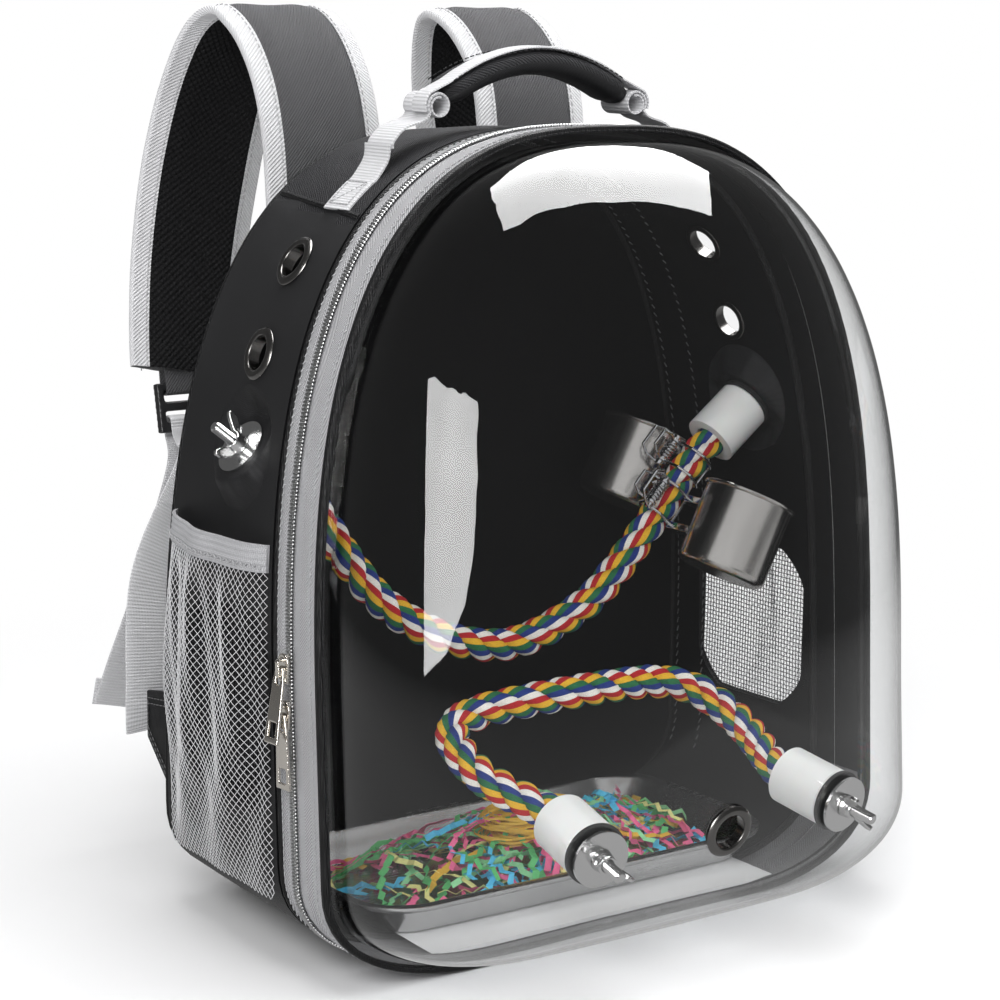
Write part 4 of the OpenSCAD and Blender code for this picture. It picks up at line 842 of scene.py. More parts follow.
for side, name in SIDES:
    rim = np.array(window_outline(1.5))
    place = through_side(side)
    path = np.array([(place @ Vector((y * MM, z * MM, 0.0))) / MM for y, z in looped(rim)])
    trim = sweep("window_trim_" + name, path, flat_tape(1.1, 5.5, 3), (side, 0, 0))
    trim.data.transform(Matrix.Translation((side * 0.0003, 0, 0)))
    settle(trim, "carrier", BINDING)
    stitches("window_stitches_" + name, path + np.array([side * 1.0, 0, 0]), (side, 0, 0), "carrier",
             BLACK_THREAD)

# The seam of the top panel, and the stitches inside the cabin
for side, name in SIDES:
    line = []
    for y in np.linspace(front_y(TOP_SEAM_FRONT) + GUSSET_SET + 1, REAR_Y - PANEL_SET - 1, 24):
        line.append(on_side(side, y, mix(TOP_SEAM_FRONT, TOP_SEAM_REAR, (y + REAR_Y) / BODY_D)))
    path = np.array([np.array(p) + 0.5 * np.array(n) for p, n in line])
    out = np.array([n for _, n in line])
    seam = sweep("top_seam_" + name, path, flat_tape(0.8, 3.2, 2), out[0])
    settle(seam, "carrier", BINDING)
    stitches("top_seam_stitches_" + name, path + 0.5 * out, out, "carrier", BLACK_THREAD)
for ahead, key in ((9, "rear"), (30, "middle")):
    inside = rear_ring(ahead, WALL + 0.8)
    keep = inside[:, 2] > 30
    run = np.roll(inside[::-1], -int(np.argmax(~keep[::-1])), axis=0)
    run = np.array([p for p in run if p[2] > 30])
    middle = np.array([0, 0, 150.0])
    inward = unit_rows((middle - run) * np.array([1, 0, 1]))
    stitches("cabin_stitches_" + key, run, inward, "carrier", DARK_THREAD, pitch=5.0, length=3.2)


def rear_wall():
    """Soft-faced stiff back wall."""
    rim = rear_ring(0, PANEL_SET)[:, [0, 2]]
    middle = np.array([0, 170.0])
    rows = []
    for face_y, bulge, order in ((REAR_Y, 0.0, 1), (REAR_Y - 4, 1.0, -1)):
        shares = np.concatenate([np.linspace(0.03, 0.97, 20), [0.995, 1.0]])[::order]
        for s in shares:
            flat = middle + (rim - middle) * s
            p = np.column_stack([flat[:, 0], np.full(len(flat), float(face_y)), flat[:, 1]])
            fade = math.sin(math.pi * min(s, 1.0)) * bulge
            p[:, 1] -= fade * (0.9 + 0.8 * ripple(p, 34.0, 1.4))
            rows.append(p)
    panel = grid("rear_wall", rows, around=True, caps=True, v=np.linspace(0, 400, len(rows)))
    lay_flat(panel.data, panel.data.uv_layers["flat"])
    return settle(panel, "carrier", LINING, ["rear_panel"])


rear_wall()


def round_band(name, rings, body, material, nodes):
    return settle(grid(name, rings, around=True, along=True), body, material, nodes)


cord = circle(PIPING_R, 14)
round_band("front_piping_cord", [ring(PIPING_SET + c, PIPING_R + s) for c, s in cord],
           "carrier", BINDING, ["front_piping"])
round_band("rear_piping_cord", [rear_ring(PIPING_R + c, PIPING_R - s) for c, s in cord],
           "carrier", BINDING, ["rear_piping"])


def tape(name, start, end, fold_at_end, nodes, body):
    """Zip tape whose inner edge turns down towards the teeth."""
    across = np.linspace(0, 1, 13)
    outer, under = [], []
    for t in across:
        edge = t if fold_at_end else 1 - t
        lift = 0.45 * math.sin(math.pi * min(1, edge * 1.15)) - 0.5 * ease((edge - 0.8) / 0.2)
        behind = mix(start, end, t)
        outer.append(ring(behind, 0.8 - lift))
        under.append(ring(behind, 2.2))
    width = end - start
    rows = outer + under[::-1]
    v = np.concatenate([across * width, width + 1.4 + (1 - across[::-1]) * width, [2 * width + 2.8]])
    # Underside faces up to TAPE_LINING_Z take the darker herringbone copy, which is painted shade; higher
    # underside faces take the lining.
    band = grid(name, rows, around=True, along=True, v=v,
                paint=lambda i, j: 0 if j < len(outer) else (1 if rows[j][i][2] > TAPE_LINING_Z else 2))
    return settle(band, body, [TAPE, LINING, TAPE_PAINTED_SHADE], nodes)


tape("door_tape", 2.75, 24.4, True, ["door_zip_tape"], "door")
tape("body_tape", 25.6, 38.0, False, ["body_zip_tape"], "carrier")


def zip_run(behind, *insets):
    """Lines that follow the zip from one end, over the arch, to the other, at several insets."""
    rings = [ring(behind, inset, 2.0) for inset in insets]
    keep = rings[0][:, 2] > ZIP_END_Z
    start = int(np.argmin(keep))
    return [np.roll(r, -start, axis=0)[np.roll(keep, -start)] for r in rings]


def teeth(name, behind, lean_to, node, body, phase):
    """One row of metal teeth, each a small rounded clasp that reaches over to the other row."""
    path, inner = zip_run(behind, 0.2, 3.0)
    gaps = distances(path, False)
    pitch = 1.75
    stops = np.arange(2 + phase * pitch, gaps[-1] - 2, pitch)
    at = at_stops(stops, gaps, path)
    under = at_stops(stops, gaps, inner)
    after = at_stops(stops + 0.5, gaps, path)
    points, faces = capsule_form(3.7, 0.72, 8)
    places = []
    for a, b, c in zip(at, under, after):
        z = unit(a - b)
        along = unit((c - a) - np.dot(c - a, z) * z)
        across = np.cross(along, z)
        if across[1] < 0:
            across = -across
        places.append(((across, along, z), a + z * 0.4 + across * lean_to))
    row = copies(name, points, faces, places)
    return settle(row, body, ZIP, [node], sharp=50, closed=False)


teeth("body_teeth", 26.4, -0.5, "body_zip_teeth", "carrier", 0.0)
teeth("door_teeth", 23.6, 0.5, "door_zip_teeth", "door", 0.5)
for key, behind, body in (("body", 36.3, "carrier"), ("door", 6.0, "door")):
    line = ring(behind, 0.35)
    stitches("tape_stitches_" + key, looped(line), unit_rows(looped(line) - looped(ring(behind, 4))),
             body, THREAD, pitch=3.6)

HINGE_W = 6.8
hinge_y = front_y(0) + 24.6
hinge_rows = []
for x in np.linspace(-72.5, 72.5, 30):
    under = [[x, mix(hinge_y, hinge_y + HINGE_W, k / 6), 2.4 + 0.25 * math.sin(math.pi * k / 6)]
             for k in range(7)]
    hinge_rows.append(under + [[x, mix(hinge_y + HINGE_W, hinge_y, k / 6), 3.2] for k in range(7)])
settle(grid("hinge_strip_cloth", hinge_rows, around=True, caps=True), "carrier", TAPE,
       ["hinge_strip"])

# ---- Door ----------------------------------------------------------------------------------------

BIND_FRONT, BIND_BACK = -2.35, 2.55
bind_section = [(BIND_BACK, 3.4), (BIND_BACK, 2.6), (BIND_BACK, 1.6)]
for k in range(9):
    a = math.pi * k / 8
    bind_section.append((mix(BIND_BACK, BIND_FRONT, 0.5 - 0.5 * math.cos(a)), 1.1 - 1.1 * math.sin(a)))
bind_section += [(BIND_FRONT, 1.6), (BIND_FRONT, 2.6), (BIND_FRONT, 3.4), (-0.85, 3.4), (-0.85, 2.6),
                 (-0.85, 1.6), (0.95, 1.6), (0.95, 2.6), (0.95, 3.4)]
round_band("rim_binding", [ring(b, i) for b, i in bind_section], "door", BINDING,
           ["flange_binding"])
line = ring(BIND_FRONT - 0.1, 2.7)
stitches("rim_binding_stitches", looped(line), (0, -1, 0), "door", BLACK_THREAD, pitch=3.2)


def dome():
    foot = full(half_outline(DOME_FOOT, 1.5))
    edge = full(half_outline(1.8, 1.5))
    flange = [np.array([before_rim(x, z, d) for x, z in outline])
              for outline, d in ((foot, 0.75), (edge, 0.75), (edge, -0.75))]
    angles = [1.0, 2.0, 3.0, 4.5, 6.5] + list(np.arange(9.0, 88.0, 2.6)) + [88.4, 89.4]
    outer = [dome_ring(foot, 0, DOME_DEPTH, a) for a in angles]
    inner = [dome_ring(foot, DOME_T, DOME_DEPTH - DOME_T, a) for a in angles]
    start = []
    for x, z in foot:
        shrink = 1 - DOME_T / math.hypot(x, z - DOME_CENTRE_Z)
        start.append(before_rim(x * shrink, DOME_CENTRE_Z + (z - DOME_CENTRE_Z) * shrink, -0.75))
    rows = outer[::-1] + flange + [np.array(start)] + inner
    shell = grid("dome_shell", rows, around=True, caps=True)
    cutters = []
    for x in (-LOWER_PERCH_X, LOWER_PERCH_X, 0):
        hole = circle(3.4 if x else RING_HOLE_R, 48)
        cutters.append(prism("c", hole, -8, 8, facing(*dome_place(x))))
    return cut(shell, cutters)


settle(dome(), "door", CLEAR, ["dome"], sharp=50)

# ---- Ropes ---------------------------------------------------------------------------------------

ROPE_START = CAP_FLOOR + HEAD_H + 3 * SEAM
FAR_RISE, NEAR_RISE, STRAIGHT = math.radians(45), math.radians(48), 10


def cap_top(depth):
    return -depth - 2 * SEAM - RUBBER_T


def along_upper(side, depth):
    """Point on an upper bolt's axis, a depth into its cap."""
    seat, out, _ = perch_frame(side)
    return seat + (cap_top(WALL) - depth) * out


def along_lower(depth):
    """The same for the lower bolt on the right."""
    point, out = dome_place(LOWER_PERCH_X)
    return point + (DOME_SEAT + cap_top(LOWER_WALL) - depth) * out


def upper_route():
    """The rope's route, straight for a short way where each clip grips it."""
    far_along = np.array([math.cos(FAR_RISE), 0, math.sin(FAR_RISE)])
    near_along = np.array([math.cos(NEAR_RISE), 0, math.sin(NEAR_RISE)])
    clip_far = along_upper(1, CAP_L + 10) - STRAIGHT * far_along
    clip_near = clip_far - np.array([16.6, 0, 18.4])
    route = [along_upper(-1, depth) for depth in (ROPE_START, CAP_L + 1, CAP_L + 9)]
    route += [(-101, 12, 184), (-78, 11, 158), (-42, 10, 137), (0, 10, 129), (42, 10, 142), (68, 12, 160)]
    route += [clip_near + k * STRAIGHT * near_along for k in (-1, 0, 1)]
    route += [clip_far + k * STRAIGHT * far_along for k in (-1, 0, 1)]
    return route + [along_upper(1, CAP_L + 1), along_upper(1, ROPE_START)]


def lower_route():
    half = [tuple(along_lower(depth)) for depth in (ROPE_START, CAP_L + 1, CAP_L + 9)]
    half += [(80, -83, 92), (81, -60, 100), (74, -43, 107), (56, -37, 111), (30, -38, 113)]
    return [(-x, y, z) for x, y, z in half] + [(0, -40, 114)] + half[::-1]


def rope(name, points, start, body, node, phase):
    """Three thick strands laid round each other, each with ten bundles of dyed cotton yarn."""
    path = even(smooth(points, 10), 0.8)
    t, n = carried(path, start)
    b = np.cross(t, n)
    along = distances(path, False)
    sides = 30
    parts = []
    for strand in range(3):
        rows = []
        for i in range(len(path)):
            turn = 2 * math.pi * (along[i] / ROPE_LAY + strand / 3) + phase
            outward = math.cos(turn) * n[i] + math.sin(turn) * b[i]
            across = -math.sin(turn) * n[i] + math.cos(turn) * b[i]
            row = []
            for k in range(sides):
                a = 2 * math.pi * k / sides - 1.85 * turn
                lump = 1 + 0.045 * math.cos(10 * 2 * math.pi * k / sides)
                lump += 0.02 * math.sin(along[i] * 2.1 + 5 * a)
                reach = STRAND_R * lump
                row.append(path[i] + (STRAND_SET + reach * math.cos(a)) * outward
                           + 1.12 * reach * math.sin(a) * across)
            rows.append(row)
        parts.append(grid(name, rows, around=True, caps=True, paint=lambda i, j: i // 3 % len(ROPE_COLOURS)))
    cord = join(name, parts)
    return settle(cord, body, ROPE_COLOURS, [node], sharp=180)


rope("upper_perch_rope", upper_route(), (0, 1, 0), "carrier", "upper_rope", 0.4)
rope("lower_perch_rope", lower_route(), (0, 0, 1), "door", "lower_rope", 1.9)


def threaded_bolt(name, places, depth, body, node):
    """Hexagon-headed bolts with a real thread, in the frame of their seat."""
    top = cap_top(depth) - CAP_FLOOR
    tip = BOLT_OUT + WASHER_T
    parts = []
    for point, n in places:
        rows = []
        z = top - 0.7
        while z < tip - 0.6:
            row = []
            for k in range(20):
                a = 2 * math.pi * k / 20
                saw = (z - a / (2 * math.pi)) % 1.0
                r = 2.95 - 0.62 * abs(2 * saw - 1)
                row.append((r * math.cos(a), r * math.sin(a), z))
            rows.append(row)
            z += 0.2
        rows.append([(2.1 * math.cos(2 * math.pi * k / 20), 2.1 * math.sin(2 * math.pi * k / 20), tip)
                     for k in range(20)])
        shank = grid("b", rows, around=True, caps=True)
        head = prism("h", circle(5.2, 6), top - 3.8, top - 0.2, Matrix.Identity(4))
        both = join("b", [shank, head])
        both.data.transform(facing(point, n))
        parts.append(both)
    return settle(join(name, parts), body, ZINC, [node], sharp=35)


upper_places = [(perch_frame(s)[0], perch_frame(s)[1]) for s in (-1, 1)]
threaded_bolt("upper_perch_bolts", upper_places, WALL, "carrier", "upper_bolts")
lower_places = []
for side, _ in SIDES:
    point, n = dome_place(side * LOWER_PERCH_X)
    lower_places.append((point + DOME_SEAT * n, n))
threaded_bolt("lower_perch_bolts", lower_places, LOWER_WALL, "door", "lower_bolts")

# ---- Nets and pockets ----------------------------------------------------------------------------

POCKET_TOP, POCKET_BOTTOM, POCKET_REAR, POCKET_BULGE, HEM_H = 206, 36, 72, 17, 13
HEM_SHARE = 1 - HEM_H / (POCKET_TOP - POCKET_BOTTOM)


def pocket_out(u, v):
    across = max(math.sin(math.pi * u), 0) ** 0.6
    up = max(math.sin(math.pi / 2 * min(1, v * 1.6 + 0.03)), 0) ** 0.8
    fold = 1 + 0.07 * math.sin(2 * math.pi * 2.5 * u) * v
    return POCKET_BULGE * across * up * (1 - 0.25 * v) * fold


def pocket_point(side, u, v, off):
    z = mix(POCKET_BOTTOM, POCKET_TOP, v)
    front = front_y(z) + GUSSET_SET + 1.5
    y = mix(front, POCKET_REAR, u)
    hold = ease(u / 0.08) * ease((1 - u) / 0.08)
    calm = 1 - 0.93 * ease((v - 0.80) / 0.12)
    folds = 2.3 * math.sin(2 * math.pi * (2.6 * u + 0.3 * math.sin(4 * v) + 0.9 * v))
    folds *= ease(1 - abs(v - 0.5) * 0.9)
    folds += 1.0 * math.sin(2 * math.pi * (6.5 * u - 1.6 * v)) * ease(v * 1.1)
    reach = max(pocket_out(u, v) + folds * calm * hold * (0.4 + 0.6 * ease(v / 0.2)), 0.6)
    return np.array([side * (side_x(y, z) + SEAM + off + reach), y, z])


def pocket_net(side, name):
    """Knitted net of diamond holes, folded and gathered under the hem."""
    cols, rows_n = 60, 74
    index, verts, faces = {}, [], []
    for j in range(rows_n + 1):
        for i in range(cols + 1):
            if (i + j) % 2 == 0:
                index[i, j] = len(verts)
                drift = 0.012 * math.sin(6 * j / rows_n + 4 * i / cols)
                u = min(max(i / cols + drift * math.sin(math.pi * i / cols), 0), 1)
                verts.append(pocket_point(side, u, (HEM_SHARE + 0.01) * j / rows_n, 0.5))
    for j in range(rows_n + 1):
        for i in range(cols + 1):
            corners = [(i - 1, j), (i, j - 1), (i + 1, j), (i, j + 1)]
            if (i + j) % 2 == 1 and all(c in index for c in corners):
                faces.append([index[c] for c in corners])
    net = new_object("pocket_net_" + name, verts, faces)
    modify(net, "WIREFRAME", thickness=0.46 * MM, use_even_offset=False, use_boundary=True)
    baked(net)
    return settle(net, "carrier", NET, ["pocket_" + name], sharp=180)


def pocket_hem(side, name):
    """Ribbed elastic hem with a zigzag stitch under it."""
    steps, ribs = 90, 40
    outer, inner = [], []
    for j in range(ribs + 1):
        v = mix(HEM_SHARE, 1, j / ribs)
        rib = 0.55 * abs(math.sin(math.pi * 4.5 * j / ribs)) - 0.25
        outer.append([pocket_point(side, i / steps, v, 1.7 + rib) for i in range(steps + 1)])
        inner.append([pocket_point(side, i / steps, v, 0.1) for i in range(steps + 1)])
    rows = np.concatenate([np.array(outer), np.array(inner)[::-1]])
    hem = grid("pocket_elastic_" + name, np.swapaxes(rows, 0, 1), around=True, caps=True)
    settle(hem, "carrier", ELASTIC, ["pocket_hem_" + name])
    for off, key, zig in ((0.16, "low", 0.0), (0.24, "zigzag", 0.8)):
        line = [pocket_point(side, u, mix(HEM_SHARE, 1, off), 2.2) for u in np.linspace(0.01, 0.99, 120)]
        stitches("hem_" + key + "_stitches_" + name, line, (side, 0, 0), "carrier", THREAD, pitch=2.6,
                 length=2.2, zigzag=zig)


def window_net(side, name):
    """Square net across the window hole."""
    pitch = 2.3
    n = 22
    shape = window_outline(1.0)
    radius = [math.hypot(*p) for p in shape]
    index, verts, faces = {}, [], []

    def inside(y, z):
        a = math.atan2(z, y) % (2 * math.pi)
        return math.hypot(y, z) < radius[int(a / (2 * math.pi) * len(radius)) % len(radius)] + pitch * 0.7

    for j in range(-n, n):
        for i in range(-n, n):
            if inside((i + 0.5) * pitch, (j + 0.5) * pitch):
                face = []
                for c in ((i, j), (i + 1, j), (i + 1, j + 1), (i, j + 1)):
                    if c not in index:
                        index[c] = len(verts)
                        y, z = c[0] * pitch, c[1] * pitch
                        verts.append((y, z, -side * (WALL / 2) + 0.5 * math.sin(y / 17) * math.cos(z / 21)))
                    face.append(index[c])
                faces.append(face)
    net = new_object("window_net_" + name, verts, faces)
    net.data.transform(through_side(side))
    modify(net, "WIREFRAME", thickness=0.62 * MM, use_even_offset=False, use_boundary=True)
    baked(net)
    return settle(net, "carrier", DARK_NET, ["window_nets"] if side > 0 else [], sharp=180)


for side, name in SIDES:
    pocket_net(side, name)
    pocket_hem(side, name)
    window_net(side, name)

# ---- Tray and paper strips -----------------------------------------------------------------------

TRAY_W, TRAY_D, TRAY_H, TRAY_CORNER, TRAY_RIM, TRAY_Y, TRAY_Z = 256, 132, 18, 34, 5, 5, 7.8
NEST_X, NEST_Y = 6, 6


def tray_ring(inset, z):
    w, d = TRAY_W / 2 - inset, TRAY_D / 2 - inset
    r = max(TRAY_CORNER - inset, 6)
    row = []
    for qx, qy, start in ((1, -1, 360), (-1, -1, 270), (-1, 1, 180), (1, 1, 90)):
        for i in range(13):
            a = math.radians(start - 7.5 * i)
            row.append((qx * (w - r) + r * math.cos(a), TRAY_Y + qy * (d - r) + r * math.sin(a), TRAY_Z + z))
    return row


TRAY_FOOT = TRAY_RIM + 10
tray_section = [(60, 0.0), (TRAY_FOOT + 2, 0), (TRAY_FOOT, 0.1), (TRAY_FOOT - 2, 0.6), (TRAY_FOOT - 3, 1.4),
                (TRAY_RIM + 3, 10), (TRAY_RIM, TRAY_H - 1.4), (TRAY_RIM - 0.6, TRAY_H - 1),
                (1.4, TRAY_H - 1), (0.9, TRAY_H - 1.4), (0.8, TRAY_H - 2.4), (0.2, TRAY_H - 2.6),
                (0, TRAY_H - 2), (0, TRAY_H - 0.6), (0.3, TRAY_H - 0.1), (0.9, TRAY_H), (TRAY_RIM, TRAY_H),
                (TRAY_RIM + 1, TRAY_H - 0.3), (TRAY_RIM + 1.6, TRAY_H - 1.6), (TRAY_FOOT - 2, 2.6),
                (TRAY_FOOT, 1.5), (TRAY_FOOT + 2, 1.05), (60, 1.0)]
tray_rows = [tray_ring(i, z) for i, z in tray_section]
settle(grid("tray_pan", tray_rows, around=True, caps=True), "tray_unit", TRAY, ["tray"],
       sharp=60)


def ribbon(verts, faces, indices, centres, across, width, colour):
    """Adds one paper ribbon through its middle points."""
    for k, (c, w) in enumerate(zip(centres, across)):
        for s in (-0.5, 0.5):
            verts.append(np.maximum(c + s * width * w, (-999, -999, TRAY_Z + 1.5)))
        if k:
            a = len(verts) - 4
            faces.append((a, a + 1, a + 3, a + 2))
            indices.append(colour)


def paper_heap():
    """Loose crinkled paper ribbons heaped in the tray, with a nest of thin raffia on top."""
    rng = random.Random(11)
    verts, faces, indices = [], [], []

    def heap(x, y):
        a = min(abs(x - 18) / 108, 1.2)
        b = min(abs(y - TRAY_Y - 4) / 52, 1.2)
        return max(0.0, 1 - a ** 2.0) * max(0.0, 1 - b ** 2.2)

    for _ in range(210):
        while True:
            x, y = rng.uniform(-104, 104), rng.uniform(-46, 54)
            if rng.random() < 0.2 + heap(x, y):
                break
        level = rng.uniform(0.1, 1.0)
        heading = rng.uniform(0, 2 * math.pi)
        curl = rng.uniform(-0.16, 0.16)
        width = rng.uniform(2.6, 3.8)
        twist, spin = rng.uniform(-0.7, 0.7), rng.uniform(-0.12, 0.12)
        colour = rng.choices(range(6), (30, 24, 20, 20, 6, 14))[0]
        z = TRAY_Z + 2.2 + 27 * heap(x, y) * level
        centres, across = [], []
        for k in range(rng.randint(7, 17)):
            heading += curl + rng.uniform(-0.18, 0.18)
            bend = heading + (0.42 if k % 2 else -0.42)
            step = rng.uniform(4.0, 6.5)
            x += step * math.cos(bend)
            y += step * math.sin(bend)
            if abs(x) > 107 or abs(y - TRAY_Y) > 49:
                heading += 1.3
                x = max(min(x, 107), -107)
                y = max(min(y, TRAY_Y + 49), TRAY_Y - 49)
            z += 0.4 * (TRAY_Z + 2.2 + 30 * heap(x, y) * level - z) + rng.uniform(-1.0, 1.6)
            z = max(z, TRAY_Z + 2)
            twist += spin
            centres.append(np.array([x, y, z + (0.9 if k % 2 else -0.9)]))
            across.append(np.array([-math.sin(heading) * math.cos(twist), math.cos(heading) * math.cos(twist),
                                    math.sin(twist)]))
        ribbon(verts, faces, indices, centres, across, width, colour)
    for _ in range(34):
        a, b = rng.uniform(15, 27), rng.uniform(10, 19)
        lift, start, tip = rng.uniform(18, 31), rng.uniform(0, 6.3), rng.uniform(-0.25, 0.25)
        cx, cy = NEST_X + rng.uniform(-5, 5), NEST_Y + rng.uniform(-4, 4)
        centres = []
        for k in range(26):
            t = start + k * 0.26
            centres.append(np.array([cx + a * math.cos(t), cy + b * math.sin(t),
                                     TRAY_Z + lift + 14 * tip * math.cos(t) + rng.uniform(-0.5, 0.5)]))
        ribbon(verts, faces, indices, centres, [np.array([0, 0.3, 0.95])] * 26, 1.1, 4)
    heap_piece = new_object("paper_strips", verts, faces, None, indices)
    modify(heap_piece, "SOLIDIFY", thickness=0.14 * MM)
    baked(heap_piece)
    return settle(heap_piece, "tray_unit", PAPERS, ["paper_bedding"], sharp=25, closed=False)


paper_heap()

# ---- Straps --------------------------------------------------------------------------------------

STRAP_W, WEBBING_W, WEBBING_T = 68, 25, 1.5
STRAP_MID_Z, STRAP_STEPS = 447.5, 8
STRAP_BACK = REAR_Y + 5.5


def strap_path(side):
    lean = 14 if side > 0 else 0
    far = [(66, 92.5 - STRAP_BACK, 386), (67, 13, STRAP_MID_Z - 32), (69, 30 + lean / 2, STRAP_MID_Z - 9),
           (72, 50 + lean, STRAP_MID_Z), (77, 68 + lean, STRAP_MID_Z - 12), (84, 80 + lean, STRAP_MID_Z - 42),
           (93, 83 + lean, STRAP_MID_Z - 82), (103, 78 + lean, STRAP_MID_Z - 124),
           (111, 69 + lean, STRAP_MID_Z - 160), (116, 61 + lean, STRAP_MID_Z - 186)]
    first = [(66, REAR_Y + 5.1, 350)]
    route = first + [(x, STRAP_BACK + y, z) for x, y, z in far]
    return smooth([(side * x, y, z) for x, y, z in route], STRAP_STEPS)


def strap_rows(side, section):
    path = strap_path(side)
    t = tangents(path)
    last = len(path) - 1
    rows = []
    for i, p in enumerate(path):
        across = unit(np.array([side, 0, 0]) - side * t[i][0] * t[i])
        out = np.cross(t[i], across) * side
        narrow = 1 - 0.12 * max(0, (i / last * 20 - 14) / 6)
        rows.append([p + a * out + b * narrow * across * side for a, b in section])
    return rows


def strap_half(x):
    """Half the strap's thickness at a distance from its middle."""
    d = STRAP_W / 2 - abs(x)
    return 1.5 + 2.9 * ease(d / 19) * (1 - 0.06 * math.cos(x / 5.5))


def strap(side, name):
    xs = np.linspace(-33.2, 33.2, 34)
    core = [(strap_half(x), x) for x in xs] + [(0.6, 33.7), (-0.6, 33.7)]
    core += [(-strap_half(x), x) for x in xs[::-1]] + [(-0.6, -33.7), (0.6, -33.7)]
    rows = strap_rows(side, core)

    def paint(i, j):
        return 1 if core[i % len(core)][0] > 0.7 else 0

    pad = grid("strap_pad_" + name, rows, around=True, caps=True, paint=paint)
    loop = strap_loop(side)
    pad = join("strap_pad_" + name, [pad, loop])
    settle(pad, "carrier", [TWILL, AIR_MESH], ["shoulder_strap_" + name])
    edges = []
    for s in (-1, 1):
        outer, inner = [], []
        for x in np.linspace(24.6, 33.4, 7):
            outer.append((strap_half(x) + 0.75, s * x))
            inner.append((strap_half(x) + 0.12, s * x))
        for a in np.linspace(0.25, math.pi - 0.25, 7):
            outer.append((2.2 * math.cos(a), s * (33.6 + 1.2 * math.sin(a))))
            inner.append((1.5 * math.cos(a), s * (33.5 + 0.6 * math.sin(a))))
        for x in np.linspace(33.4, 24.6, 7):
            outer.append((-strap_half(x) - 0.75, s * x))
            inner.append((-strap_half(x) - 0.12, s * x))
        edges.append(grid("e", strap_rows(side, outer + inner[::-1]), around=True, caps=True))
    binding = join("strap_edging_" + name, edges)
    settle(binding, "carrier", STRAP_EDGE, ["strap_binding_" + name])
    for s in (-1, 1):
        for face, key in ((1, "in"), (-1, "out")):
            line = np.array(strap_rows(side, [(face * (strap_half(26) + 0.8), s * 26.2)]))[:, 0]
            centre = np.array(strap_rows(side, [(0.0, s * 26.2)]))[:, 0]
            stitches(f"strap_stitches_{name}_{key}_{'a' if s < 0 else 'b'}", line,
                     unit_rows(line - centre), "carrier", THREAD, pitch=3.8)


LOCK_T, LOCK_LEAN, SLOT_Z = 4.5, math.radians(12), -4.8
ANCHOR_X, ANCHOR_REACH, ANCHOR_Z = 156, 34, 90


def lock_point(side, y, z):
    end = strap_path(side)[-1] + np.array([0, -2, -18])
    return end + np.array([0, y * math.cos(LOCK_LEAN) + z * math.sin(LOCK_LEAN),
                           z * math.cos(LOCK_LEAN) - y * math.sin(LOCK_LEAN)])


def strap_loop(side):
    """Webbing loop sewn into the strap's end, round the buckle's upper bar."""
    off = LOCK_T / 2 + SEAM + 0.75
    turn = [(-off + 0.6, 22), (-off, 15), (-off, 10), (-off * 0.85, 8.0), (-off * 0.4, 7.2),
            (off * 0.4, 7.2), (off * 0.85, 8.0), (off, 10), (off, 15), (off - 0.6, 22)]
    path = smooth([lock_point(side, y, z) for y, z in turn], 4)
    return sweep("loop", path, flat_tape(1.3, WEBBING_W), (0, 1, 0))


def strap_webbing(side, name):
    """One webbing from the lower anchor, over the buckle's bar, to its free tail."""
    off = LOCK_T / 2 + WEBBING_T / 2 + 1.1
    turn = [(-off, SLOT_Z - 8), (-off, SLOT_Z - 3), (0.3 - off, SLOT_Z - 1.2), (-0.5 * off, SLOT_Z),
            (0.5 * off, SLOT_Z), (off - 0.3, SLOT_Z - 1.2), (off, SLOT_Z - 3), (off, SLOT_Z - 8)]
    e = strap_path(side)[-1] + np.array([0, -2, -18])
    y0 = REAR_Y + ANCHOR_REACH + WEBBING_T / 2 + 1.3
    rise = [(side * ANCHOR_X, y0, ANCHOR_Z - 10), (side * ANCHOR_X, y0, ANCHOR_Z + 10),
            (side * (ANCHOR_X - 9), mix(REAR_Y + ANCHOR_REACH, e[1], 0.5) - 3, mix(ANCHOR_Z, e[2], 0.45)),
            lock_point(side, -off - 1, SLOT_Z - 26)]
    tail = [lock_point(side, off + 0.3, SLOT_Z - 24), (e[0] + side * 6, e[1] + 4, e[2] - 60),
            (e[0] + side * 16, e[1] + 13, e[2] - 105), (e[0] + side * 25, e[1] + 22, e[2] - 140),
            (e[0] + side * 31, e[1] + 28, e[2] - 165)]
    path = smooth(rise + [lock_point(side, y, z) for y, z in turn] + tail, 7)
    strip = sweep("strap_adjuster_" + name, path, flat_tape(WEBBING_T, WEBBING_W), (0, 1, 0))
    end = path[-1]
    fold = smooth([end + np.array([0, -0.2, 14]) - side * np.array([2.6, 0, 0]), end], 6)
    hem = sweep("h", fold + np.array([0, 1.6, 0]), flat_tape(WEBBING_T, WEBBING_W + 0.4), (0, 1, 0))
    strip = join("strap_adjuster_" + name, [strip, hem])
    settle(strip, "carrier", WEBBING, ["strap_webbing_" + name])


